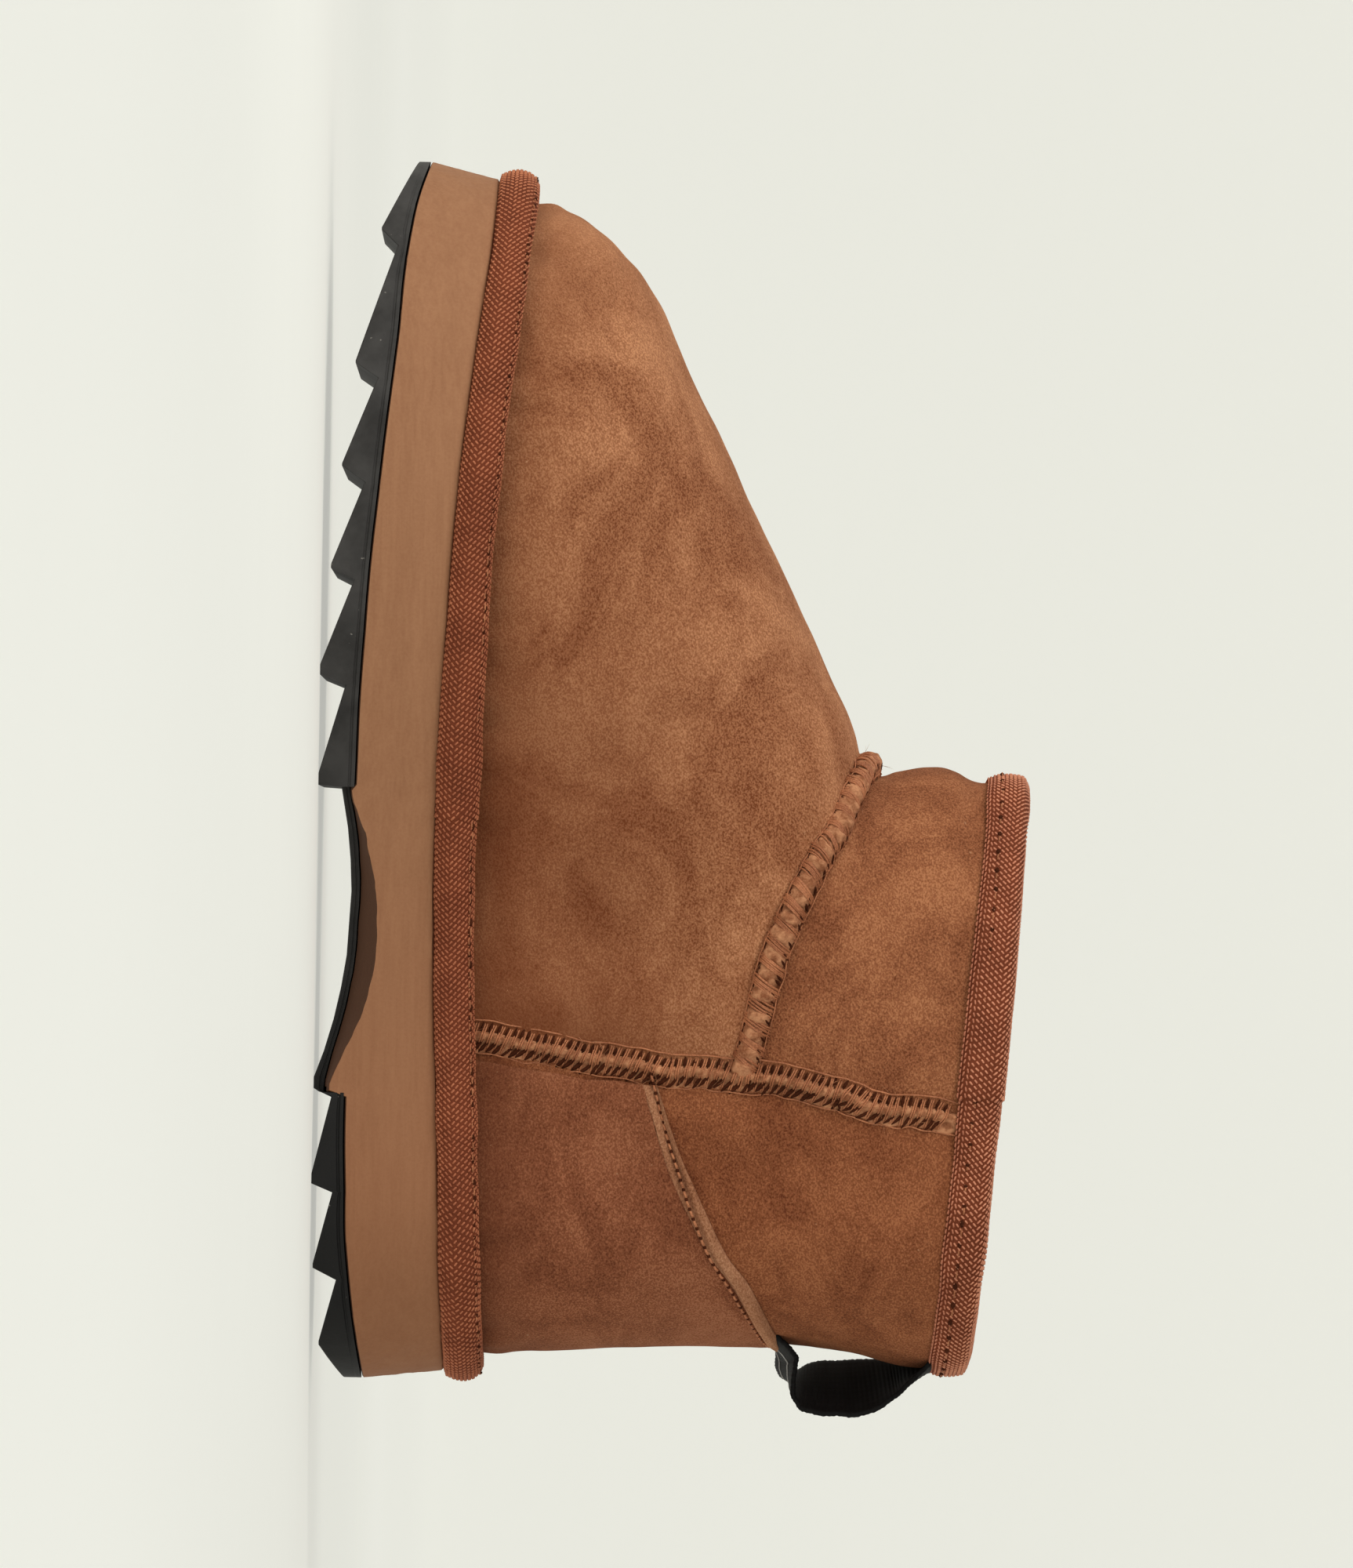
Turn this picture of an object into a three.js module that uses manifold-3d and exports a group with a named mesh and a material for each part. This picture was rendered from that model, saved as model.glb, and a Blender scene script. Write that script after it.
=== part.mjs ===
// Right ankle boot of sheepskin on a thick foam sole, standing empty on its sole.
// Millimetres, +Z up, toe towards -Y, inner side of the foot towards +X.
// "along" is the distance from the back end of the sole towards the toe. The upper is a stack of
// closed outlines, the sections of the last, and every other piece takes its place from that stack.
import * as THREE from 'three';
import { mergeVertices } from 'three/addons/utils/BufferGeometryUtils.js';
import Module from 'manifold-3d';

const wasm = await Module();
wasm.setup();

// ---- driving dimensions -------------------------------------------------------------------
const SOLE_LENGTH = 270; // length of the outsole
const GAP = 0.3; // clearance between pieces that are sewn or glued together
const WALL = 11; // leather and deep fleece together
const RIM_WALL = 5; // the same wall squeezed under the collar tape
const LEDGE_OUT = 4.7; // foam ledge beyond the last, at its top edge
const FLARE_HEEL = 6.7; // foam beyond the last at its bottom edge, heel end
const FLARE_TOE = 8.4; // and at the toe end
const STRIP_THICK = 1.8; // rubber under the arch
const STRIP_INSET_INNER = 7; // rubber strip in from the foam's inner edge
const STRIP_INSET_OUTER = 4; // and from its outer edge
const OUTER_SCOOP = 0.45; // scoop of the outer side, as a share of the inner side's
const BED_THICK = 7; // fleece footbed
const COUNTER_THICK = 1.8; // suede over the heel
const BEAD_TOP = 9.1; // plain wall of the last behind the welt bead
const TAPE_THICK = 1.4; // webbing of the pull loop
const TAPE_HALF = 12.5; // half its width
const BACK_RADIUS = 33; // roundness of the shaft's back in plan

// Columns round the boot: half of them on each side, no column exactly at heel or toe centre.
const HEEL_COLUMNS = 6;
const SIDE_COLUMNS = 8;
const TOE_COLUMNS = 11;
const HALF_COLUMNS = HEEL_COLUMNS + SIDE_COLUMNS + TOE_COLUMNS;
const ROWS_PER_SECTION = 1.25; // modelled rows for each row of the table

// ---- sections of the last, from the foam's ledge up to the collar --------------------------
// toe, toeZ: front end of the section; heel, heelZ: back end; seat: where the round of the heel
// starts, and its half width; tread: where the round of the toe starts, and the half widths to
// the inner and outer side there; waistIn, waistOut: how far the waist is drawn in;
// sag: how much of the footbed's curve the section still follows.
const LAST_COLUMNS = ['toeZ', 'toe', 'heelZ', 'heel', 'seat', 'seatHalf', 'tread',
  'inner', 'outer', 'waistIn', 'waistOut', 'sag'];
const LAST = table(LAST_COLUMNS, [
  [37.2, 261.2, 29.7, 7.2, 41, 34.4, 188, 44.5, 48.0, 0.17, 0.06, 1.0],
  [46.3, 261.2, 38.8, 7.2, 41, 34.4, 188, 44.5, 48.0, 0.17, 0.06, 1.0],
  [52.5, 259.4, 45.5, 8.4, 41, 33.6, 185, 45.0, 48.2, 0.15, 0.05, 0.9],
  [59.2, 255.7, 52.0, 9.0, 41, 33.3, 180, 44.4, 47.2, 0.13, 0.04, 0.8],
  [66.3, 249.8, 58.5, 9.2, 41, 33.3, 172, 43.0, 45.4, 0.11, 0.03, 0.7],
  [72.6, 242.0, 65.0, 9.4, 41, 33.5, 163, 41.4, 43.6, 0.09, 0.02, 0.6],
  [78.9, 229.8, 71.5, 9.8, 41, 33.7, 151, 39.8, 41.6, 0.07, 0.02, 0.48],
  [85.3, 215.6, 78.5, 10.1, 41, 33.9, 139, 38.6, 40.2, 0.05, 0.01, 0.38],
  [92.0, 201.5, 86.0, 10.3, 41, 34.2, 126, 37.8, 39.2, 0.03, 0.01, 0.28],
  [98.8, 187.5, 93.5, 10.4, 41, 34.4, 113, 37.2, 38.4, 0.02, 0.0, 0.2],
  [105.6, 173.0, 100.5, 10.3, 41, 34.7, 101, 36.8, 37.8, 0.01, 0.0, 0.12],
  [112.2, 158.8, 107.0, 9.9, 41, 35.0, 90, 36.6, 37.4, 0.0, 0.0, 0.06],
  [117.4, 145.2, 112.5, 9.3, 41, 35.3, 82, 36.4, 37.2, 0.0, 0.0, 0.0],
  [121.4, 138.4, 117.0, 8.5, 41, 35.5, 78, 36.3, 37.1, 0.0, 0.0, 0.0],
  [127.0, 137.0, 122.0, 7.4, 41, 35.6, 75, 36.3, 37.0, 0.0, 0.0, 0.0],
  [134.0, 137.5, 127.5, 6.0, 41, 35.6, 74, 36.3, 37.0, 0.0, 0.0, 0.0],
  [140.5, 136.9, 132.5, 5.2, 41, 35.3, 73, 36.0, 36.7, 0.0, 0.0, 0.0],
  [146.2, 134.6, 137.0, 5.0, 41, 34.8, 72, 35.4, 36.0, 0.0, 0.0, 0.0],
  [155.0, 134.6, 143.8, 5.0, 41, 34.8, 72, 35.4, 36.0, 0.0, 0.0, 0.0],
]);
const WALL_ROWS = 2; // table rows at the bottom, and at the top, that stand straight up
const TOE_POINT = 0.95; // 1 is an ellipse, less is a blunter toe
const WAIST_SHIFT = 0.78; // below 1 the waist lies nearer the heel

// ---- side profile of the sole -------------------------------------------------------------
// ledge: top of the foam under the upper; joint: foam to rubber.
const SOLE = table(['along', 'joint', 'ledge'], [
  [0, 11.5, 29.6], [25, 8.1, 28.1], [43, 7.2, 27.5], [64, 6.9, 26.7], [100, 7.4, 25.6],
  [134, 8.1, 26.0], [164, 9.4, 27.3], [196, 12.0, 29.4], [229, 15.5, 33.0], [254, 18.0, 36.1],
  [270, 22.0, 37.3],
]);
// Arch, from the forefoot's edge back to the heel's: under side of the rubber strip, and the
// lower edge of the foam on the inner side, where it is scooped out.
const ARCH = table(['along', 'strip', 'edge'], [
  [66.2, 0.4, 3.3], [73, 2.1, 6.3], [80, 4.1, 9.6], [87, 5.6, 11.7], [94, 6.7, 12.9],
  [101, 7.1, 13.1], [108, 7.5, 12.6], [115, 7.2, 11.3], [122, 6.5, 9.6], [129.4, 5.0, 6.6],
]);
const ARCH_FRONT = 130.8; // the forefoot rubber ends in a steep face here
const ARCH_BACK = 64; // and the heel rubber here
// Saw-tooth tread: foot of each tooth, the tip's height, and the root behind the tooth.
const TEETH = table(['tip', 'tipZ', 'flat', 'root', 'rootZ'], [
  [253.2, 11.5, 0.5, 249.4, 15.1],
  [223.4, 6.5, 0.5, 219.9, 11.4],
  [200.8, 4.0, 0.5, 197.0, 9.0],
  [178.7, 2.0, 0.8, 175.8, 7.1],
  [156.2, 0.0, 2.2, 152.9, 5.6],
  [132.4, 0.0, 2.6, 130.8, 5.0],
  [66.0, 0.0, 2.4, 63.0, 4.0],
  [45.2, 0.0, 2.2, 42.2, 4.6],
  [26.1, 0.6, 1.0, 23.0, 5.7],
  [8.8, 2.0, 0.8, 5.4, 4.0],
]);
const TOE_EDGE_Z = 19.3; // lowest point of the rubber at the toe end
const HEEL_EDGE_Z = 7.5; // and at the heel end

// ---- heel counter, pull loop and tapes ----------------------------------------------------
// Outline of the suede over the heel, seen from the side.
const COUNTER = table(['along', 'z'], [
  [76.6, 37.0], [72.6, 60.0], [68.6, 78.0], [66.0, 79.0], [53.8, 82.4], [43.4, 86.1],
  [29.6, 92.0], [20.6, 98.0], [10.9, 104.0], [-5, 104.5], [-5, 37.0],
]);
// Pull loop, from the counter's edge out and up to the collar: far is its outer-side edge, near
// its inner-side edge, snug: how far the tape is bent round the back of the shaft.
const LOOP = table(['far', 'farZ', 'near', 'nearZ', 'snug'], [
  [9.1, 105.6, 9.1, 106.8, 1.0],
  [5.6, 104.2, 7.0, 107.6, 0.6],
  [3.0, 103.7, 5.0, 107.5, 0.2],
  [1.9, 106.0, 1.0, 106.6, 0.0],
  [3.4, 108.6, -2.9, 107.4, 0.0],
  [5.0, 112.0, -5.0, 110.8, 0.0],
  [5.3, 116.6, -5.4, 116.6, 0.0],
  [5.7, 121.4, -5.1, 122.4, 0.0],
  [5.4, 127.0, -2.4, 128.2, 0.2],
  [4.9, 131.4, 1.0, 132.4, 0.7],
  [3.8, 134.0, 3.6, 134.2, 1.0],
]);
// Section of the welt bead: out from the last, and up from the foam's ledge.
const BEAD = table(['out', 'up'], [
  [0.3, 0.35], [5.0, 0.35], [6.3, 1.5], [6.9, 3.4], [6.8, 5.4], [5.9, 7.3], [4.4, 8.5],
  [2.7, 8.8], [1.2, 8.3], [0.3, 7.2],
]);
// Section of the collar tape: out from the shaft's face, and up from the rim.
const HEM = table(['out', 'up'], [
  [0.3, -9.0], [1.4, -8.8], [1.7, -5.0], [1.6, -0.6], [0.6, 1.4], [-2.5, 2.2], [-5.6, 1.4],
  [-6.6, -0.6], [-6.7, -5.0], [-6.4, -7.0], [-5.3, -7.2], [-5.3, 0.35], [0.3, 0.35],
]);

// ---- small helpers ------------------------------------------------------------------------
// Rows with named columns; each row also keeps its own number.
function table(names, rows) {
  return rows.map((row, number) => (
    { number, ...Object.fromEntries(names.map((name, k) => [name, row[k]])) }));
}

const mix = (a, b, t) => a + (b - a) * t;
const smooth = (t) => t * t * (3 - 2 * t);
const clamp = (t, low, high) => Math.min(high, Math.max(low, t));

// A smooth curve through a table's rows, read at a place between them.
function read(rows, key, place, by = 'along') {
  const last = rows.length - 1;
  const x = clamp(place, rows[0][by], rows[last][by]);
  let k = 0;
  while (k < last - 1 && rows[k + 1][by] < x) k += 1;
  const slope = (i) => {
    const before = rows[Math.max(0, i - 1)];
    const after = rows[Math.min(last, i + 1)];
    return (after[key] - before[key]) / (after[by] - before[by]);
  };
  const span = rows[k + 1][by] - rows[k][by];
  const t = (x - rows[k][by]) / span;
  const start = rows[k][key] + slope(k) * span * t;
  const end = rows[k + 1][key] - slope(k + 1) * span * (1 - t);
  return mix(start, end, smooth(t));
}

// The lowest and the highest band of the last stand straight up, behind the bead and the tape.
const isUpright = (level) => level <= WALL_ROWS - 1 || level >= LAST.length - WALL_ROWS;

// One section of the last at a level, which counts rows of the table and may lie between two.
function section(level) {
  const k = clamp(Math.floor(level), 0, LAST.length - 2);
  return Object.fromEntries(LAST_COLUMNS.map((name) => [name, isUpright(level)
    ? mix(LAST[k][name], LAST[k + 1][name], level - k)
    : read(LAST, name, level, 'number')]));
}

// Place on a section: turn runs from 0 at the heel's centre to 1 at the toe's, side is +1 on the
// inner side and -1 on the outer.
function outline(row, turn, side) {
  const heelShare = HEEL_COLUMNS / HALF_COLUMNS;
  const toeShare = TOE_COLUMNS / HALF_COLUMNS;
  const half = side > 0 ? row.inner : row.outer;
  const waist = side > 0 ? row.waistIn : row.waistOut;
  if (turn < heelShare) {
    const angle = (turn / heelShare) * Math.PI / 2;
    return [side * row.seatHalf * Math.sin(angle), row.seat - (row.seat - row.heel) * Math.cos(angle)];
  }
  if (turn > 1 - toeShare) {
    const angle = ((turn - 1 + toeShare) / toeShare) * Math.PI / 2;
    return [side * half * Math.max(0, Math.cos(angle)) ** TOE_POINT,
      row.tread + (row.toe - row.tread) * Math.sin(angle)];
  }
  const part = (turn - heelShare) / (1 - heelShare - toeShare);
  const drawn = 1 - waist * Math.sin(Math.PI * part ** WAIST_SHIFT) ** 2;
  return [side * mix(row.seatHalf, half, smooth(part)) * drawn, mix(row.seat, row.tread, part)];
}

const toPoint = (x, along, z) => new THREE.Vector3(x, SOLE_LENGTH / 2 - along, z);

// How far the footbed's curve lies from the straight line through the ends of the lowest section.
function bedSag(along) {
  const low = LAST[0];
  const chord = mix(low.heelZ, low.toeZ, (along - low.heel) / (low.toe - low.heel));
  return read(SOLE, 'ledge', along) + GAP - chord;
}

function lastPoint(level, turn, side) {
  const row = section(level);
  const [x, along] = outline(row, turn, side);
  const share = (along - row.heel) / (row.toe - row.heel);
  return toPoint(x, along, mix(row.heelZ, row.toeZ, share) + row.sag * bedSag(along));
}

// Outward normal of the last's surface there.
function lastNormal(level, turn, side) {
  const step = 0.004;
  const [low, high] = [Math.max(0, level - 0.05), Math.min(LAST.length - 1, level + 0.05)];
  const up = lastPoint(high, turn, side).sub(lastPoint(low, turn, side));
  const round = lastPoint(level, Math.min(1, turn + step), side)
    .sub(lastPoint(level, Math.max(0, turn - step), side));
  const normal = up.cross(round).normalize().multiplyScalar(side);
  return isUpright(level) ? normal.setZ(0).normalize() : normal;
}

// The columns round the boot: inner side from heel to toe, then outer side from toe to heel.
function columns(make) {
  const turns = Array.from({ length: HALF_COLUMNS }, (_, i) => (i + 0.5) / HALF_COLUMNS);
  return [...turns.map((turn) => make(turn, 1)), ...turns.reverse().map((turn) => make(turn, -1))];
}

// ---- closed bodies ------------------------------------------------------------------------
// A grid of points, closed round each row of it, becomes a skin. wrap joins the last row to the
// first; without it the two ends are closed by ladders across them.
function body(rows, wrap) {
  const count = rows[0].length;
  const points = rows.flat();
  const index = [];
  const quad = (a, b, c, d) => index.push(a, b, c, a, c, d);
  const spans = wrap ? rows.length : rows.length - 1;
  for (let i = 0; i < spans; i += 1) {
    const next = (i + 1) % rows.length;
    for (let j = 0; j < count; j += 1) {
      const right = (j + 1) % count;
      quad(i * count + j, next * count + j, next * count + right, i * count + right);
    }
  }
  const end = (rows.length - 1) * count;
  for (let j = 0; !wrap && j < count / 2 - 1; j += 1) {
    quad(j, j + 1, count - 2 - j, count - 1 - j);
    quad(end + j + 1, end + j, end + count - 1 - j, end + count - 2 - j);
  }
  return facingOut(new THREE.BufferGeometry().setFromPoints(points).setIndex(index));
}

function facingOut(geometry) {
  const place = geometry.getAttribute('position');
  const corner = [0, 1, 2].map(() => new THREE.Vector3());
  const faces = geometry.index.array;
  let volume = 0;
  for (let f = 0; f < faces.length; f += 3) {
    corner.forEach((v, k) => v.fromBufferAttribute(place, faces[f + k]));
    volume += corner[0].dot(corner[1].clone().cross(corner[2]));
  }
  if (volume < 0) geometry.setIndex([...faces].reverse());
  return geometry;
}

function toSolid(geometry) {
  const bare = geometry.clone();
  bare.deleteAttribute('normal');
  bare.deleteAttribute('uv');
  const merged = mergeVertices(bare, 1e-4);
  return new wasm.Manifold(new wasm.Mesh({
    numProp: 3,
    vertProperties: new Float32Array(merged.getAttribute('position').array),
    triVerts: new Uint32Array(merged.index.array),
  }));
}

function toGeometry(solid) {
  const mesh = solid.getMesh();
  return new THREE.BufferGeometry()
    .setAttribute('position', new THREE.BufferAttribute(mesh.vertProperties, 3))
    .setIndex(new THREE.BufferAttribute(mesh.triVerts, 1));
}

// ---- upper --------------------------------------------------------------------------------
const ROW_COUNT = Math.round((LAST.length - 1) * ROWS_PER_SECTION);
const LEVELS = [...new Set([
  ...Array.from({ length: ROW_COUNT + 1 }, (_, i) => (i * (LAST.length - 1)) / ROW_COUNT),
  WALL_ROWS - 1, LAST.length - WALL_ROWS,
])].sort((a, b) => a - b);

// Wall thickness: full in the foot and shaft, thinner where the collar tape squeezes it.
function wallAt(level) {
  const top = LAST.length - WALL_ROWS;
  return mix(WALL, RIM_WALL, smooth(clamp((level - top + 3) / 3, 0, 1)));
}

function offLast(level, turn, side, out) {
  return lastPoint(level, turn, side).addScaledVector(lastNormal(level, turn, side), out);
}

const upper = body(columns((turn, side) => [
  ...LEVELS.map((level) => offLast(level, turn, side, 0)),
  ...[...LEVELS].reverse().map((level) => offLast(level, turn, side, -wallAt(level))),
]), true);

// ---- heel counter: what lies between two larger forms of the last, inside its side outline ---
function lastForm(out) {
  const turns = Array.from({ length: HALF_COLUMNS }, (_, i) => (i + 0.5) / HALF_COLUMNS);
  return body(turns.map((turn) => [
    ...LEVELS.map((level) => offLast(level, turn, 1, out)),
    ...[...LEVELS].reverse().map((level) => offLast(level, turn, -1, out)),
  ]), false);
}

// A straight bar across the boot with a given side outline.
function sideBar(rows) {
  const shape = new THREE.Shape(rows.map((row) => new THREE.Vector2(-row.along, row.z)));
  const bar = new THREE.ExtrudeGeometry(shape, { depth: SOLE_LENGTH, bevelEnabled: false });
  const turned = new THREE.Matrix4().makeBasis(
    new THREE.Vector3(0, 1, 0), new THREE.Vector3(0, 0, 1), new THREE.Vector3(1, 0, 0));
  return bar.applyMatrix4(turned).translate(-SOLE_LENGTH / 2, SOLE_LENGTH / 2, 0);
}

const counterFront = COUNTER[0].along;
const aboveBead = COUNTER.map((row) => (row.z > COUNTER[0].z ? row
  : { ...row, z: read(SOLE, 'ledge', clamp(row.along, 0, counterFront)) + BEAD_TOP + GAP }));
const counter = toGeometry(toSolid(lastForm(GAP + COUNTER_THICK)).subtract(toSolid(lastForm(GAP)))
  .intersect(toSolid(sideBar(aboveBead))));

// ---- sole ---------------------------------------------------------------------------------
// The last's lowest outline moved outwards, as a list of [x, along] for one side.
function widened(side, out) {
  const low = section(0);
  const step = 0.002;
  return Array.from({ length: 241 }, (_, i) => {
    const turn = i / 240;
    const [x, along] = outline(low, turn, side);
    const [x0, along0] = outline(low, Math.max(0, turn - step), side);
    const [x1, along1] = outline(low, Math.min(1, turn + step), side);
    const length = Math.hypot(x1 - x0, along1 - along0);
    const distance = out((along - low.heel) / (low.toe - low.heel));
    return [x + side * distance * (along1 - along0) / length,
      along - side * distance * (x1 - x0) / length];
  });
}

// Half width of such an outline, and its two ends.
function edge(points, along) {
  const place = points.findIndex((point, k) => k > 0 && point[1] >= along);
  if (place < 1) return points[points.length - 1][0];
  const [[x0, a0], [x1, a1]] = [points[place - 1], points[place]];
  return mix(x0, x1, clamp((along - a0) / (a1 - a0), 0, 1));
}

const flare = (share) => mix(FLARE_HEEL, FLARE_TOE, share ** 2);
const ledgeOut = () => LEDGE_OUT;
const bottomEdge = { 1: widened(1, flare), '-1': widened(-1, flare) };
const topEdge = { 1: widened(1, ledgeOut), '-1': widened(-1, ledgeOut) };
const ends = (points) => [points[0][1], points[points.length - 1][1]];
const [bottomBack, bottomFront] = ends(bottomEdge[1]);
const [topBack, topFront] = ends(topEdge[1]);

// Stations from the heel end to the toe end, close together where the outline turns.
function stations(extra) {
  const even = Array.from({ length: 19 }, (_, i) => mix(30, 215, i / 18));
  const round = [0.4, 2, 5, 9.5, 15, 22];
  const list = [...even, ...round.map((d) => bottomBack + d), ...extra,
    ...[0.5, 2.2, 5.5, 10, 16, 24, 33, 43].map((d) => bottomFront - d)];
  return [...new Set(list)].sort((a, b) => a - b)
    .filter((a, i, all) => i === 0 || a - all[i - 1] > 0.05);
}

const inArch = (along) => along > ARCH_BACK && along < ARCH_FRONT;

// Under side of the foam at its edge (0 inner, 1 outer) and over the rubber strip.
function foamUnder(along, place) {
  if (!inArch(along)) return read(SOLE, 'joint', along) + GAP / 2;
  const over = read(ARCH, 'strip', along) + STRIP_THICK + GAP;
  const scooped = Math.max(over, read(ARCH, 'edge', along));
  return { inner: scooped, strip: over, outer: mix(over, scooped, OUTER_SCOOP) }[place];
}

const step = 0.02; // the two sides of a steep face
const foamStations = stations([
  ARCH_BACK - step, ARCH_BACK + 2.2, ARCH_FRONT - 1.4, ARCH_FRONT + step, ...ARCH.map((r) => r.along)]);
const midsole = body(foamStations.map((along) => {
  const share = (along - bottomBack) / (bottomFront - bottomBack);
  const above = mix(topBack, topFront, share);
  const ledge = read(SOLE, 'ledge', above);
  const [inner, outer] = [edge(bottomEdge[1], along), edge(bottomEdge[-1], along)];
  const inset = inArch(along) ? [STRIP_INSET_INNER, STRIP_INSET_OUTER] : [3, 3];
  const reach = Math.min(inner, -outer) * 0.5;
  return [
    toPoint(inner, along, foamUnder(along, 'inner')),
    toPoint(inner - Math.min(inset[0], reach), along, foamUnder(along, 'strip')),
    toPoint(outer + Math.min(inset[1], reach), along, foamUnder(along, 'strip')),
    toPoint(outer, along, foamUnder(along, 'outer')),
    toPoint(edge(topEdge[-1], above), above, ledge),
    toPoint(edge(topEdge[1], above), above, ledge),
  ];
}), false);

// Under side of the rubber: teeth in the forefoot and heel, a bowed strip between them.
const tread = [
  { along: bottomBack, z: HEEL_EDGE_Z },
  ...TEETH.flatMap((tooth) => [
    { along: tooth.root, z: tooth.rootZ },
    { along: tooth.tip - tooth.flat / 2, z: tooth.tipZ },
    { along: tooth.tip + tooth.flat / 2, z: tooth.tipZ },
  ]),
  ...ARCH.filter((row) => row.along > 70 && row.along < 127)
    .map((row) => ({ along: row.along, z: row.strip })),
  { along: bottomFront, z: TOE_EDGE_Z },
].sort((a, b) => a.along - b.along);

function treadZ(along) {
  const k = clamp(tread.findIndex((point) => point.along >= along), 1, tread.length - 1);
  const [a, b] = [tread[k - 1], tread[k]];
  return mix(a.z, b.z, clamp((along - a.along) / (b.along - a.along), 0, 1));
}

const rubberStations = stations([ARCH_BACK - step, ARCH_BACK + step, ARCH_FRONT - step,
  ARCH_FRONT + step, ...tread.slice(1, -1).map((point) => point.along)]);
const outsole = body(rubberStations.map((along) => {
  const strip = along > ARCH_BACK && along < ARCH_FRONT;
  const top = strip ? read(ARCH, 'strip', along) + STRIP_THICK
    : read(SOLE, 'joint', along) - GAP / 2;
  const inner = edge(bottomEdge[1], along) - (strip ? STRIP_INSET_INNER : 0);
  const outer = edge(bottomEdge[-1], along) + (strip ? STRIP_INSET_OUTER : 0);
  const under = Math.min(treadZ(along), top - 1);
  return [toPoint(inner, along, under), toPoint(outer, along, under),
    toPoint(outer, along, top), toPoint(inner, along, top)];
}), false);

// ---- footbed, inside the foot of the upper --------------------------------------------------
const insole = body(Array.from({ length: HALF_COLUMNS }, (_, i) => {
  const turn = (i + 0.5) / HALF_COLUMNS;
  const [inner, outer] = [1, -1].map((side) => offLast(0, turn, side, -(WALL + 0.6)));
  const top = (point) => point.clone().setZ(point.z + BED_THICK);
  return [inner, outer, top(outer), top(inner)];
}), false);

// ---- welt bead and collar tape: one section carried round the boot ---------------------------
const bead = body(columns((turn, side) => {
  const foot = lastPoint(0, turn, side);
  const out = lastNormal(0, turn, side);
  return BEAD.map((corner) => {
    const point = foot.clone().addScaledVector(out, corner.out);
    return point.setZ(read(SOLE, 'ledge', SOLE_LENGTH / 2 - point.y) + corner.up);
  });
}), true);

const hem = body(columns((turn, side) => {
  const rim = lastPoint(LAST.length - 1, turn, side);
  const out = lastNormal(LAST.length - 1, turn, side);
  return HEM.map((corner) => {
    const point = rim.clone().addScaledVector(out, corner.out);
    return point.setZ(point.z + corner.up);
  });
}), true);

// ---- pull loop ------------------------------------------------------------------------------
const ACROSS = [-1, -0.5, 0, 0.5, 1];
const LOOP_STEPS = 22;

function tapePoint(number, across) {
  const at = (key) => read(LOOP, key, number, 'number');
  const toNear = (across + 1) / 2;
  const x = across * TAPE_HALF;
  const drop = BACK_RADIUS - Math.sqrt(BACK_RADIUS ** 2 - x ** 2);
  return toPoint(x, mix(at('far'), at('near'), toNear) + at('snug') * drop,
    mix(at('farZ'), at('nearZ'), toNear));
}

const pullLoop = body(Array.from({ length: LOOP_STEPS + 1 }, (_, i) => {
  const number = (i * (LOOP.length - 1)) / LOOP_STEPS;
  const [before, after] = [Math.max(0, number - 0.1), Math.min(LOOP.length - 1, number + 0.1)];
  const face = (side) => ACROSS.map((across) => {
    const run = tapePoint(after, across).sub(tapePoint(before, across));
    const wide = tapePoint(number, Math.min(1, across + 0.1))
      .sub(tapePoint(number, Math.max(-1, across - 0.1)));
    const normal = run.cross(wide).normalize();
    return tapePoint(number, across).addScaledVector(normal, side * TAPE_THICK / 2);
  });
  return [...face(1), ...face(-1).reverse()];
}), false);

// ---- assembly -------------------------------------------------------------------------------
const FINISH = {
  suede: { color: 0x9b6444, roughness: 0.95, metalness: 0 },
  counterSuede: { color: 0x77462a, roughness: 0.95, metalness: 0 },
  foam: { color: 0x95684b, roughness: 0.8, metalness: 0 },
  rubber: { color: 0x3a3a3a, roughness: 0.7, metalness: 0 },
  fleece: { color: 0xc1ad92, roughness: 1, metalness: 0 },
  tape: { color: 0x7c4630, roughness: 0.85, metalness: 0 },
  webbing: { color: 0x100f0f, roughness: 0.85, metalness: 0 },
};
const PIECES = [
  ['outsole', outsole, 'rubber'],
  ['midsole', midsole, 'foam'],
  ['insole', insole, 'fleece'],
  ['upper', upper, 'suede'],
  ['heel_counter', counter, 'counterSuede'],
  ['welt_binding', bead, 'tape'],
  ['collar_binding', hem, 'tape'],
  ['pull_loop', pullLoop, 'webbing'],
];

const boot = new THREE.Group();
for (const [name, geometry, finish] of PIECES) {
  const mesh = new THREE.Mesh(geometry, new THREE.MeshStandardMaterial(FINISH[finish]));
  mesh.name = name;
  boot.add(mesh);
}

// The origin is on the ground, under the middle of the boot's box.
const box = new THREE.Box3().setFromObject(boot, true);
const middle = box.getCenter(new THREE.Vector3());
boot.position.set(-middle.x, -middle.y, -box.min.z);

export default boot;
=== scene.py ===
# %% [markdown]
# # A sheepskin ankle boot on a thick foam sole
#
# The solid model of the boot is already made. This lesson gives it its
# looks: brushed suede, whip-stitched seams, woven tape, deep fleece, foam and rubber. Each piece is
# a mesh worked out with numpy from the sizes of the boot, and each finish is a node material.
# The first step loads the solid model as a fixed frame; its boxes are read where they are needed.

# %% Load the frame
import math

import bpy
import numpy as np
from mathutils import Matrix, Vector


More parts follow.
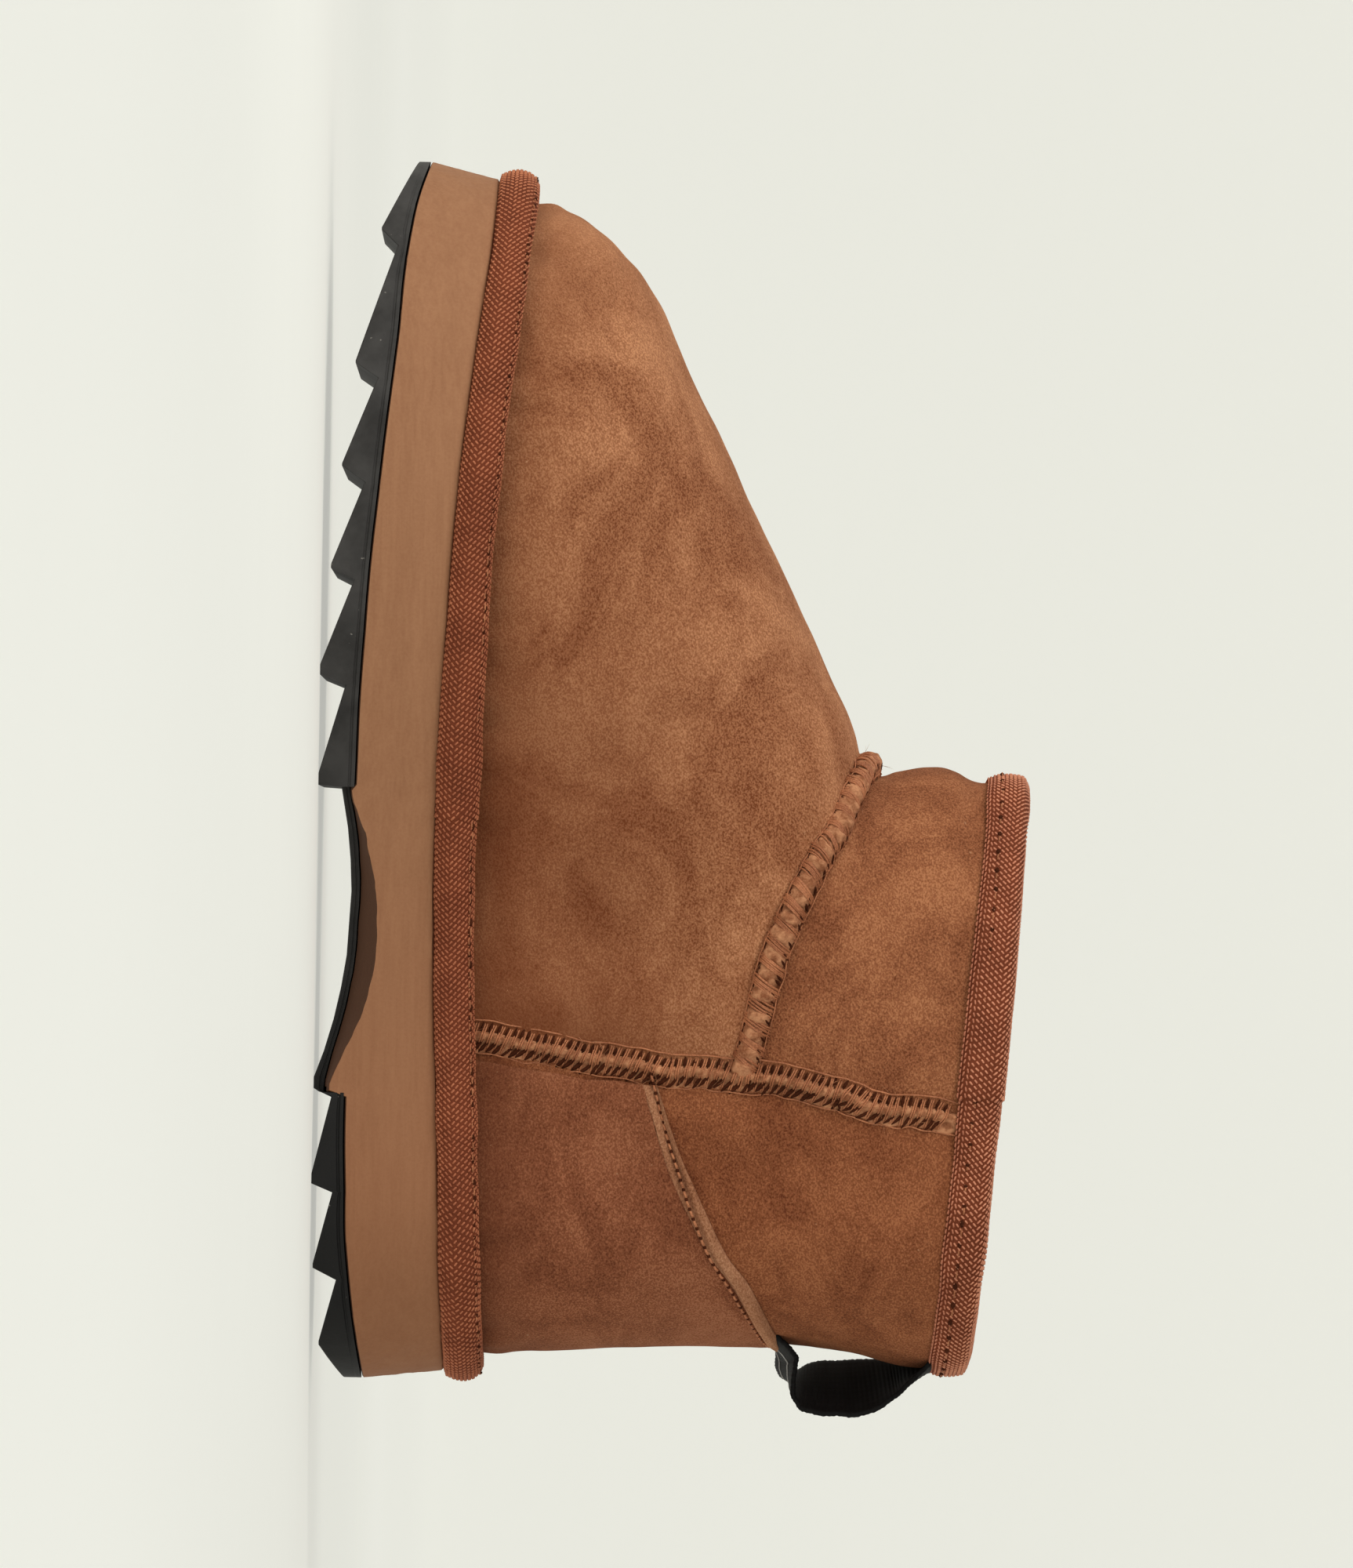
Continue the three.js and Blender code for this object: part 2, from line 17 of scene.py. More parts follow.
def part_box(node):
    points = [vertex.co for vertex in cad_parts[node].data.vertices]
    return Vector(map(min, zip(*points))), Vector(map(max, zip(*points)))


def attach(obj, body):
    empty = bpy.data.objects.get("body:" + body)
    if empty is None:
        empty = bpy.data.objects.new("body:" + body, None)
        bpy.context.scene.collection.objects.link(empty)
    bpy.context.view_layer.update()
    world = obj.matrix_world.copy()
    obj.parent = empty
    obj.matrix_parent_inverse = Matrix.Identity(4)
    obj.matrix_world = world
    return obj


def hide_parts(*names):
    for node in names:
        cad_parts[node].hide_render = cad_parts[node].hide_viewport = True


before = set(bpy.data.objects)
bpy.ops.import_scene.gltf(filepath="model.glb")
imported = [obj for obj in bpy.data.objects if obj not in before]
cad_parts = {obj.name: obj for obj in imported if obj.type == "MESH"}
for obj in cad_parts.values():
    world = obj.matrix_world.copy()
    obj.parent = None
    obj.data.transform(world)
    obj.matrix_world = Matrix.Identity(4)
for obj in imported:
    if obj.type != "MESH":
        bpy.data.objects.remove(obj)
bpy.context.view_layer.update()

# %% [markdown]
# ## Shoe sizes
# A shoemaker doesn't think in x, y and z. The useful places on a boot are how far along it from the
# back end of the sole, how high above the ground, and how far to the inner or outer side. All
# shapes below are arrays of (side, along, height) in millimetres, and one function turns them into
# the frame's metres. The back end of the sole is found from the frame, so nothing is fitted by eye.

# %% Shoe coordinates
MM = 0.001
FIRST_CUT = 0.9  # the sole's hindmost cut lies this far along
LINE_SHIFT = 1.76  # the last's centre line lies this far to the inner side of the box's middle
BACK_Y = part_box("outsole")[1].y / MM + FIRST_CUT


def to_frame(points):
    """(side, along, height) in mm to the frame's metres."""
    side, along, height = np.moveaxis(np.asarray(points, float), -1, 0)
    return np.stack([side + LINE_SHIFT, BACK_Y - along, height], -1) * MM


loop_low, loop_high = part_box("pull_loop")
print("middle of the pull loop, from the centre line:",
      round((loop_low.x + loop_high.x) / 2 / MM - LINE_SHIFT, 2), "mm")

# %% [markdown]
# ## From arrays to meshes
# Most pieces here are a grid of points with four-sided faces. A boot's upper is such a grid bent
# into a tube, a bead is one bent into a ring. Small things that repeat, such as threads, are one
# small shape copied thousands of times into a single mesh. Building the vertex and face arrays in
# numpy and handing them over in one go is far faster than adding faces one by one.

# %% Mesh helpers
PIECES = []


def in_scene(name, data):
    """A new object in the scene with this mesh, lamp or camera."""
    thing = bpy.data.objects.new(name, data)
    bpy.context.scene.collection.objects.link(thing)
    return thing


def grid_faces(rows, columns, wrap_rows=False, wrap_columns=False):
    """Four-sided faces of a grid of points, numbered row by row."""
    r = np.arange(rows if wrap_rows else rows - 1)
    c = np.arange(columns if wrap_columns else columns - 1)
    r, c = np.meshgrid(r, c, indexing="ij")
    right, down = (c + 1) % columns, (r + 1) % rows
    faces = [r * columns + c, down * columns + c, down * columns + right, r * columns + right]
    return np.stack(faces, -1).reshape(-1, 4)


def end_ladder(count, start=0):
    """Faces that close a ring of points with rungs across it."""
    j = np.arange(count // 2 - 1)
    return start + np.stack([j, j + 1, count - 2 - j, count - 1 - j], -1)


def add_piece(name, points, faces, material, replaces=(), crease=None):
    """A closed mesh from points in shoe millimetres and one array of faces, or a list of them."""
    groups = faces if isinstance(faces, list) else [faces]
    place = to_frame(np.asarray(points, float).reshape(-1, 3))
    volume = 0.0
    for group in groups:
        first = place[group[:, 0]]
        for k in range(1, group.shape[1] - 1):
            volume += np.einsum("ij,ij->", first, np.cross(place[group[:, k]], place[group[:, k + 1]]))
    if volume < 0:  # inside out, so every face is turned round
        groups = [group[:, ::-1] for group in groups]
    corners = np.concatenate([group.ravel() for group in groups]).astype(np.int32)
    sizes = np.concatenate([np.full(len(group), group.shape[1]) for group in groups])
    mesh = bpy.data.meshes.new(name)
    mesh.vertices.add(len(place))
    mesh.vertices.foreach_set("co", place.astype(np.float32).ravel())
    mesh.loops.add(len(corners))
    mesh.loops.foreach_set("vertex_index", corners)
    mesh.polygons.add(len(sizes))
    mesh.polygons.foreach_set("loop_start", np.cumsum(np.r_[0, sizes[:-1]]).astype(np.int32))
    mesh.update(calc_edges=True)
    mesh.polygons.foreach_set("use_smooth", np.ones(len(sizes), bool))
    if crease is not None:
        mesh.set_sharp_from_angle(angle=math.radians(crease))
    mesh.materials.append(material)
    piece = in_scene(name, mesh)
    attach(piece, "root")
    if replaces:
        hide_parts(*replaces)
    triangles = int((sizes - 2).sum())
    PIECES.append((name, triangles))
    print(f"{name}: {triangles} triangles")
    return piece


def unit(v):
    return v / np.maximum(np.linalg.norm(v, axis=-1, keepdims=True), 1e-9)


def run_along(line):
    """Distance from the start of a line to each of its points, measured along it."""
    return np.r_[0, np.cumsum(np.linalg.norm(np.diff(line, axis=0), axis=1))]


def ripple(points, size, seed, waves=14):
    """Soft waves of about the given size in mm, the same on every run, mostly within -2 to 2."""
    rng = np.random.default_rng(seed)
    directions = unit(rng.normal(size=(waves, 3))) * rng.uniform(0.6, 1.4, (waves, 1))
    phase = rng.uniform(0, 2 * math.pi, waves)
    total = np.zeros(np.asarray(points).shape[:-1])
    for direction, start in zip(directions, phase):
        total += np.sin(points @ direction * (2 * math.pi / size) + start)
    return total / math.sqrt(waves / 2)


def bump_at(value, centre, width):
    """1 at the centre and 0 a few widths away."""
    return np.exp(-(((value - centre) / width) ** 2))


def step_up(value, low, high):
    t = np.clip((value - low) / (high - low), 0, 1)
    return t * t * (3 - 2 * t)


# %% [markdown]
# ## The last
# A boot takes its shape from the last, the wooden foot that it is pulled over. Here the last is a
# stack of closed outlines from the sole up to the collar, the same that the solid model uses: each
# row names the ends of one outline, its half widths, and how far the waist is drawn in. `level`
# counts the rows, and `ring` runs round the boot: 0 at the heel, 1 at the toe, by the inner side,
# and on to 2 at the heel again by the outer side. Any point of the upper is then last(level, ring).

# %% Sections of the last
LAST_COLUMNS = ("toe_z toe heel_z heel seat seat_half tread inner outer "
                "waist_in waist_out sag").split()
LAST = np.array([
    [37.2, 261.2, 29.7, 7.2, 41, 34.4, 188, 44.5, 48.0, 0.17, 0.06, 1.0],
    [46.3, 261.2, 38.8, 7.2, 41, 34.4, 188, 44.5, 48.0, 0.17, 0.06, 1.0],
    [52.5, 259.4, 45.5, 8.4, 41, 33.6, 185, 45.0, 48.2, 0.15, 0.05, 0.9],
    [59.2, 255.7, 52.0, 9.0, 41, 33.3, 180, 44.4, 47.2, 0.13, 0.04, 0.8],
    [66.3, 249.8, 58.5, 9.2, 41, 33.3, 172, 43.0, 45.4, 0.11, 0.03, 0.7],
    [72.6, 242.0, 65.0, 9.4, 41, 33.5, 163, 41.4, 43.6, 0.09, 0.02, 0.6],
    [78.9, 229.8, 71.5, 9.8, 41, 33.7, 151, 39.8, 41.6, 0.07, 0.02, 0.48],
    [85.3, 215.6, 78.5, 10.1, 41, 33.9, 139, 38.6, 40.2, 0.05, 0.01, 0.38],
    [92.0, 201.5, 86.0, 10.3, 41, 34.2, 126, 37.8, 39.2, 0.03, 0.01, 0.28],
    [98.8, 187.5, 93.5, 10.4, 41, 34.4, 113, 37.2, 38.4, 0.02, 0.0, 0.2],
    [105.6, 173.0, 100.5, 10.3, 41, 34.7, 101, 36.8, 37.8, 0.01, 0.0, 0.12],
    [112.2, 158.8, 107.0, 9.9, 41, 35.0, 90, 36.6, 37.4, 0.0, 0.0, 0.06],
    [117.4, 145.2, 112.5, 9.3, 41, 35.3, 82, 36.4, 37.2, 0.0, 0.0, 0.0],
    [121.4, 138.4, 117.0, 8.5, 41, 35.5, 78, 36.3, 37.1, 0.0, 0.0, 0.0],
    [127.0, 137.0, 122.0, 7.4, 41, 35.6, 75, 36.3, 37.0, 0.0, 0.0, 0.0],
    [134.0, 137.5, 127.5, 6.0, 41, 35.6, 74, 36.3, 37.0, 0.0, 0.0, 0.0],
    [140.5, 136.9, 132.5, 5.2, 41, 35.3, 73, 36.0, 36.7, 0.0, 0.0, 0.0],
    [146.2, 134.6, 137.0, 5.0, 41, 34.8, 72, 35.4, 36.0, 0.0, 0.0, 0.0],
    [155.0, 134.6, 143.8, 5.0, 41, 34.8, 72, 35.4, 36.0, 0.0, 0.0, 0.0],
])
RIM = len(LAST) - 1
HEEL_SHARE, TOE_SHARE = 6 / 25, 11 / 25  # parts of the ring that go round heel and toe
TOE_POINT, WAIST_SHIFT = 0.95, 0.78  # powers that set how round the toe is and where the waist is
GAP = 0.3  # air between two solids that lie on each other
SOLE = np.array([  # along, foam to rubber, top of the foam
    [0, 11.5, 29.6], [25, 8.1, 28.1], [43, 7.2, 27.5], [64, 6.9, 26.7], [100, 7.4, 25.6],
    [134, 8.1, 26.0], [164, 9.4, 27.3], [196, 12.0, 29.4], [229, 15.5, 33.0], [254, 18.0, 36.1],
    [270, 22.0, 37.3],
])


def through(xs, ys, at):
    """A smooth curve through the places xs, ys, read at other places."""
    xs, ys = np.asarray(xs, float), np.asarray(ys, float)
    at = np.clip(at, xs[0], xs[-1])
    k = np.clip(np.searchsorted(xs, at, side="left") - 1, 0, len(xs) - 2)
    before = np.maximum(np.arange(len(xs)) - 1, 0)
    after = np.minimum(np.arange(len(xs)) + 1, len(xs) - 1)
    slope = (ys[after] - ys[before]) / (xs[after] - xs[before])
    span = xs[k + 1] - xs[k]
    t = (at - xs[k]) / span
    start = ys[k] + slope[k] * span * t
    end = ys[k + 1] - slope[k + 1] * span * (1 - t)
    return start + (end - start) * t * t * (3 - 2 * t)


def foam_top(along):
    return through(SOLE[:, 0], SOLE[:, 2], along)


def foam_joint(along):
    return through(SOLE[:, 0], SOLE[:, 1], along)


def upright(level):
    """True where the last's wall stands straight: behind the bead and under the collar tape."""
    return (level <= 1) | (level >= RIM - 1)


def section(level):
    number = np.arange(RIM + 1)
    straight = {n: np.interp(level, number, LAST[:, k]) for k, n in enumerate(LAST_COLUMNS)}
    curved = {n: through(number, LAST[:, k], level) for k, n in enumerate(LAST_COLUMNS)}
    return {n: np.where(upright(level), straight[n], curved[n]) for n in LAST_COLUMNS}


def last(level, ring):
    """Points of the last in shoe millimetres; level and ring are arrays of one shape."""
    level, ring = np.broadcast_arrays(np.asarray(level, float), np.asarray(ring, float) % 2)
    row = section(level)
    inner_side = ring < 1
    side = np.where(inner_side, 1.0, -1.0)
    turn = np.where(inner_side, ring, 2 - ring)
    half = np.where(inner_side, row["inner"], row["outer"])
    waist = np.where(inner_side, row["waist_in"], row["waist_out"])
    heel_angle = turn / HEEL_SHARE * math.pi / 2
    toe_angle = (turn - 1 + TOE_SHARE) / TOE_SHARE * math.pi / 2
    part = np.clip((turn - HEEL_SHARE) / (1 - HEEL_SHARE - TOE_SHARE), 0, 1)
    drawn = 1 - waist * np.sin(math.pi * part**WAIST_SHIFT) ** 2
    middle = (row["seat_half"] + (half - row["seat_half"]) * part**2 * (3 - 2 * part)) * drawn
    toe_cos = np.maximum(np.cos(toe_angle), 0)
    is_heel, is_toe = turn < HEEL_SHARE, turn > 1 - TOE_SHARE
    across = np.where(is_heel, row["seat_half"] * np.sin(heel_angle),
                      np.where(is_toe, half * toe_cos**TOE_POINT, middle))
    along = np.where(is_heel, row["seat"] - (row["seat"] - row["heel"]) * np.cos(heel_angle),
                     np.where(is_toe, row["tread"] + (row["toe"] - row["tread"]) * np.sin(toe_angle),
                              row["seat"] + (row["tread"] - row["seat"]) * part))
    share = (along - row["heel"]) / (row["toe"] - row["heel"])
    low = dict(zip(LAST_COLUMNS, LAST[0]))
    chord = low["heel_z"] + (low["toe_z"] - low["heel_z"]) * (along - low["heel"]) / (
        low["toe"] - low["heel"])
    height = row["heel_z"] + (row["toe_z"] - row["heel_z"]) * share
    height = height + row["sag"] * (foam_top(along) + GAP - chord)
    return np.stack([side * across, along, height], -1)


def last_normal(level, ring):
    level, ring = np.broadcast_arrays(np.asarray(level, float), np.asarray(ring, float))
    up = last(np.minimum(level + 0.05, RIM), ring) - last(np.maximum(level - 0.05, 0), ring)
    round_it = last(level, ring + 0.004) - last(level, ring - 0.004)
    normal = unit(np.cross(round_it, up))
    flat = unit(normal * [1, 1, 0])
    return np.where(upright(level)[..., None], flat, normal)


def off_last(level, ring, out):
    """A point a distance out from the last's surface; below 0 is inside the wall."""
    return last(level, ring) + last_normal(level, ring) * np.asarray(out)[..., None]


print("toe end of the upper:", last(1.0, 1.0).round(1), "collar back:", last(RIM, 0.0).round(1))

# %% [markdown]
# ## Finding a place on the boot
# Seams are drawn on a boot from the side: so far along, so high. To lay a seam on the curved
# surface we need its level and ring. The surface is sampled finely on that side, the nearest
# sample is taken, and two Newton steps bring it onto the exact place.

# %% Places on the last
def places_round(count, first=0.5):
    """Ring places at even shares of the way round the boot."""
    return (np.arange(count) + first) / count * 2


LEVEL_SAMPLES = np.linspace(0, RIM, 361)
TURN_SAMPLES = np.linspace(0.0, 1.0, 401)


def on_last(along, height, side):
    """(level, ring) of a place seen from the inner (side 1) or outer (side -1) side."""
    level_grid, turn_grid = np.meshgrid(LEVEL_SAMPLES, TURN_SAMPLES, indexing="ij")
    samples = last(level_grid, side * turn_grid)
    found = []
    for a, z in zip(np.atleast_1d(along), np.atleast_1d(height)):
        k = np.argmin((samples[..., 1] - a) ** 2 + (samples[..., 2] - z) ** 2)
        level, turn = level_grid.flat[k], turn_grid.flat[k]
        for newton_step in range(2):
            here = last(level, side * turn)[1:]
            d_level = (last(min(level + 0.02, RIM), side * turn)[1:] - here) / 0.02
            d_turn = (last(level, side * (turn + 0.002))[1:] - here) / 0.002
            jacobian = np.stack([d_level, d_turn], 1)
            if abs(np.linalg.det(jacobian)) < 1:
                break
            shift = np.clip(np.linalg.solve(jacobian, [a - here[0], z - here[1]]), -0.2, 0.2)
            level, turn = np.clip(level + shift[0], 0, RIM), np.clip(turn + shift[1], 0.001, 1)
        found.append((level, side * turn % 2))
    return np.array(found)


# Seams seen from the side: the side seam, the seam over the instep, and the counter's upper edge.
SIDE_SEAM = np.array([(76.8, 35), (75.0, 46), (72.4, 60), (69.6, 78), (68.8, 93.4), (65.6, 116),
                      (61.6, 136), (60.0, 146), (59.4, 152)])
INSTEP_SEAM = np.array([(69.0, 93.4), (77.4, 95.9), (91.6, 99.2), (105.8, 104.4), (118.2, 110.6),
                        (127.0, 115.4)])
COUNTER_EDGE = np.array([(5.0, 105.0), (10.9, 103.6), (20.6, 97.0), (29.6, 91.0), (43.4, 85.2),
                         (53.8, 81.4), (66.9, 77.6), (80.0, 74.0)])
FRONT_LEVEL = 13.0  # where the instep seam crosses the front of the shaft
side_seam = {s: on_last(SIDE_SEAM[:, 0], SIDE_SEAM[:, 1], s) for s in (1, -1)}
instep_seam = {s: on_last(INSTEP_SEAM[:, 0], INSTEP_SEAM[:, 1], s) for s in (1, -1)}
print("side seam starts at level and ring", side_seam[1][0].round(3))

# %% [markdown]
# ## Finishes
# Each finish is a node material. A small helper adds a node, sets its sockets by name and links
# whatever is an output of another node, so that a finish reads as a few lines. Object coordinates
# are in metres here, so a noise of scale 1000 has spots of about a millimetre.

# %% Material helpers
def srgb(red, green, blue):
    """Screen colour 0 to 255 to the linear colour that nodes use."""
    c = np.array([red, green, blue]) / 255
    return (*np.where(c <= 0.04045, c / 12.92, ((c + 0.055) / 1.055) ** 2.4).tolist(), 1.0)


class Finish:
    """A material with one shader. Numbers that don't vary are set on the shader's own sockets."""

    def __init__(self, name, **shader_values):
        self.material = bpy.data.materials.new(name)
        self.material.use_nodes = True
        self.tree = self.material.node_tree
        self.shader = self.tree.nodes["Principled BSDF"]
        for socket, value in shader_values.items():
            self.shader.inputs[socket.replace("_", " ")].default_value = value
        self.place = self.add("ShaderNodeTexCoord").outputs["Object"]

    def feed(self, socket, value):
        """Link another node's output to a socket, or set the socket to a number or colour."""
        if isinstance(value, bpy.types.NodeSocket):
            self.tree.links.new(value, socket)
        else:
            socket.default_value = value

    def add(self, kind, settings=None, **sockets):
        """A node with its settings and sockets set; i0 and i1 are its first and second input."""
        node = self.tree.nodes.new(kind)
        for key, value in (settings or {}).items():
            setattr(node, key, value)
        for key, value in sockets.items():
            key = key.replace("_", " ")
            self.feed(node.inputs[int(key[1:])] if key[1:].isdigit() else node.inputs[key], value)
        return node

    def noise(self, size, detail=3.0, roughness=0.55, distortion=0.0, place=None, stretch=None):
        """Noise with spots of about this size in mm, as a number from 0 to 1."""
        place = place or self.place
        if stretch:
            place = self.add("ShaderNodeMapping", Vector=place, Scale=stretch[0],
                             Rotation=stretch[1]).outputs[0]
        return self.add("ShaderNodeTexNoise", Vector=place, Scale=1 / (size * MM), Detail=detail,
                        Roughness=roughness, Distortion=distortion).outputs["Fac"]

    def axis(self, letter):
        """One of the three coordinates of the place, in metres."""
        return self.add("ShaderNodeSeparateXYZ", Vector=self.place).outputs[letter]

    def math(self, operation, first, second):
        return self.add("ShaderNodeMath", {"operation": operation}, i0=first, i1=second).outputs[0]

    def spread(self, value, low, high, to_low=0.0, to_high=1.0):
        """Value between low and high, carried smoothly to between two other numbers."""
        return self.add("ShaderNodeMapRange", {"interpolation_type": "SMOOTHSTEP"}, Value=value,
                        From_Min=low, From_Max=high, To_Min=to_low, To_Max=to_high).outputs[0]

    def mix(self, factor, first, second):
        node = self.add("ShaderNodeMix", {"data_type": "RGBA"})
        for key, value in (("Factor", factor), ("A", first), ("B", second)):
            self.feed(next(i for i in node.inputs if i.name == key and i.enabled), value)
        return next(o for o in node.outputs if o.enabled)

    def colour(self, output):
        self.tree.links.new(output, self.shader.inputs["Base Color"])

    def bump(self, height, distance, strength=1.0, under=None):
        """Bump of a height in mm; under is the output of a bump that it lies on."""
        node = self.add("ShaderNodeBump", Height=height, Distance=distance * MM,
                        Strength=strength)
        if under:
            self.tree.links.new(under, node.inputs["Normal"])
        self.tree.links.new(node.outputs[0], self.shader.inputs["Normal"])
        return node.outputs[0]


print("tan suede is", [round(v, 3) for v in srgb(155, 100, 68)[:3]])

# %% [markdown]
# ## Suede
# Suede is leather with its fibres brushed up. Where the nap lies towards you it looks pale, where
# it lies away it looks dark, so a boot is never one tan: soft patches about five centimetres wide,
# brush strokes half as wide, small tufts, and a fine grain. It has next to no gloss. A sheen lobe
# gives the pale rim that velvety cloth has where it turns away. Light and shade are also painted
# into the colour: painted shade in a band above the welt and, on the vamp, towards the heel, and
# a painted highlight at the toe. The shaft, back and counter finishes are darker, redder copies of
# the tan suede, painted shade, and the fold finish is a paler copy, a painted highlight.

# %% Suede materials
def suede(name, dark, mid, light, heel_shade=0.0):
    f = Finish(name, Roughness=0.95, Specular_IOR_Level=0.08, Sheen_Weight=0.22,
               Sheen_Roughness=0.45, Sheen_Tint=srgb(225, 165, 125))
    strokes = f.noise(24, 5.0, 0.62, 1.1, stretch=((1, 0.7, 1), (0.5, 0, 0)))
    patches = f.noise(52, 3.0, 0.5, 0.4)
    tufts = f.noise(4.0, 4.0, 0.6, 0.6, stretch=((1, 0.7, 1), (0.7, 0, 0)))
    grain = f.noise(0.42, 3.0, 0.75, 0.2, stretch=((1, 0.8, 1), (0.9, 0, 0)))
    broad = f.spread(patches, 0.36, 0.64, 0.0, 0.2)
    tone = f.math("ADD", f.spread(strokes, 0.34, 0.66, 0.0, 0.36), broad)
    tone = f.math("ADD", tone, f.spread(tufts, 0.34, 0.66, 0.0, 0.08))
    tone = f.math("ADD", tone, f.spread(grain, 0.36, 0.64, -0.13, 0.53))
    low = f.mix(f.spread(tone, 0.0, 0.5), dark, mid)
    base = f.mix(f.spread(tone, 0.5, 1.0), low, light)
    to_back, height = f.axis("Y"), f.axis("Z")
    welt_top = f.spread(to_back, -0.115, -0.02, 0.046, 0.036)
    over_welt = f.math("SUBTRACT", height, welt_top)
    # Painted shade: the suede turns darker in a band about 2 cm high above the welt.
    base = f.mix(f.spread(over_welt, 0.0, 0.02, 0.42, 0.0), base, dark)
    # Painted shade: darker towards the heel and low down, as far as the suede's last argument asks.
    to_heel = f.math("ADD", f.spread(to_back, -0.09, 0.005, 0.0, heel_shade),
                     f.spread(to_back, 0.03, 0.062, 0.0, 0.6 * heel_shade))
    low_down = f.spread(height, 0.055, 0.1, 1.0, 0.15)
    base = f.mix(f.math("MULTIPLY", to_heel, low_down), base, dark)
    # Painted light: paler at the toe, where the light falls.
    base = f.mix(f.spread(to_back, -0.13, -0.085, 0.22, 0.0), base, light)
    specks = f.noise(1.1, 1.0, 0.5)
    f.colour(f.mix(f.spread(specks, 0.77, 0.83, 0.0, 0.4), base, srgb(206, 160, 122)))
    soft = f.bump(tufts, 0.35, 0.7)
    f.bump(grain, 0.4, 0.9, under=soft)
    return f.material


# The tan suede's last number paints shade towards the heel on the vamp.
TAN_SUEDE = suede("tan_suede", srgb(114, 61, 36), srgb(163, 106, 73), srgb(204, 144, 104), 0.5)
# The shaft, back and counter finishes are darker, redder copies of the tan suede: painted shade.
SHAFT_SUEDE_SHADED = suede("shaft_suede_shaded", srgb(106, 58, 36), srgb(147, 90, 60), srgb(184, 123, 85))
BACK_SUEDE_SHADED = suede("back_suede_shaded", srgb(94, 48, 29), srgb(133, 77, 49), srgb(168, 106, 71))
COUNTER_SUEDE_SHADED = suede("counter_suede", srgb(94, 50, 32), srgb(131, 76, 51), srgb(164, 105, 75))
# The fold finish is a paler copy of the suede: a painted highlight on the turned edge.
FOLD_SUEDE_HIGHLIGHT = suede("fold_suede_highlight", srgb(126, 78, 54), srgb(162, 110, 80), srgb(190, 138, 104))
print("suede:", len(TAN_SUEDE.node_tree.nodes), "nodes")

# %% [markdown]
# ## Leather edge, thread, tape
# Where the hides meet, their raw edges are pulled together by the whip stitch. The cut edge of a
# sheepskin is paler than its face, with a little wool in it. Threads and tape are the same
# polyester, and their shine is in the fibres: a fine noise on them is enough. The tape's ground
# is dark as painted shade between the floats, the welt's floats are painted paler towards the toe
# where the light falls, and the near-black needle finish paints the shade in gaps and holes.

# %% Edge, thread and tape materials
def raw_edge():
    f = Finish("raw_edge", Roughness=0.95, Specular_IOR_Level=0.1, Sheen_Weight=0.12,
               Sheen_Roughness=0.5, Sheen_Tint=srgb(230, 180, 140))
    lumps = f.noise(2.4, 4.0, 0.6, 0.4)
    fibres = f.noise(0.5, 3.0, 0.7)
    tone = f.math("ADD", f.spread(lumps, 0.35, 0.65, 0.0, 0.75), f.spread(fibres, 0.3, 0.7, 0.0, 0.25))
    f.colour(f.mix(tone, srgb(126, 72, 46), srgb(200, 142, 104)))
    f.bump(fibres, 0.2, 0.8)
    return f.material


def fibre(name, dark, light, gloss=0.25, rough=0.6, toe=0.0):
    f = Finish(name, Roughness=rough, Specular_IOR_Level=gloss, Sheen_Weight=0.2,
               Sheen_Roughness=0.4, Sheen_Tint=light)
    strands = f.noise(0.35, 3.0, 0.65)
    patches = f.noise(7, 2.0)
    tone = f.math("ADD", f.spread(strands, 0.3, 0.7, 0.0, 0.6), f.spread(patches, 0.3, 0.7, 0.0, 0.4))
    base = f.mix(tone, dark, light)
    # Painted light: with `toe` above 0 the colour turns paler towards the toe, where the light falls.
    f.colour(f.mix(f.spread(f.axis("Y"), -0.13, -0.03, toe, 0.0), base, light))
    f.bump(strands, 0.08, 0.7)
    return f.material


RAW_EDGE = raw_edge()
THREAD = fibre("seam_thread", srgb(126, 70, 44), srgb(198, 130, 90))
# The tape's ground is dark: painted shade between the floats.
TAPE_GROUND_SHADED = fibre("tape_ground_shaded", srgb(92, 45, 28), srgb(124, 63, 41), 0.1, 0.9)
SELVEDGE = fibre("tape_selvedge", srgb(164, 96, 70), srgb(208, 136, 104))
COLLAR_FLOAT = fibre("collar_float", srgb(180, 110, 82), srgb(224, 152, 118))
# The welt's floats are painted paler towards the toe: painted light.
TAPE_FLOAT = fibre("tape_float", srgb(148, 80, 53), srgb(194, 120, 84), toe=0.7)
# Near black: painted shade in the needle gaps and holes.
NEEDLE_SHADE = fibre("needle_gap", srgb(50, 24, 14), srgb(82, 41, 25), 0.05, 1.0)
print("thread and tape:", [m.name for m in (THREAD, TAPE_GROUND_SHADED, SELVEDGE, COLLAR_FLOAT, TAPE_FLOAT)])

# %% [markdown]
# ## Fleece, foam, rubber, webbing
# Fleece scatters light inside itself, so its folds aren't black but warm. A little subsurface
# light does that. The foam is milled to shape, which leaves fine streaks along the sole. Its
# colour is painted darker towards the heel and on faces that look down, such as the arch scoop:
# painted shade. The rubber is nearly black with pale dust in its pores, and is painted much
# darker towards the heel as shade.

# %% Fleece, foam, rubber and webbing materials
def fleece():
    f = Finish("fleece", Roughness=1.0, Specular_IOR_Level=0.05, Sheen_Weight=0.5,
               Sheen_Roughness=0.6, Sheen_Tint=srgb(255, 240, 215), Subsurface_Weight=0.35,
               Subsurface_Radius=(0.004, 0.0025, 0.0015), Subsurface_Scale=1.0)
    clumps = f.noise(9, 4.0, 0.6, 0.5)
    fibres = f.noise(0.7, 3.0, 0.7)
    tone = f.math("ADD", f.spread(clumps, 0.3, 0.7, 0.0, 0.7), f.spread(fibres, 0.3, 0.7, 0.0, 0.3))
    f.colour(f.mix(tone, srgb(232, 208, 170), srgb(255, 245, 222)))
    f.bump(fibres, 0.35, 0.8)
    return f.material


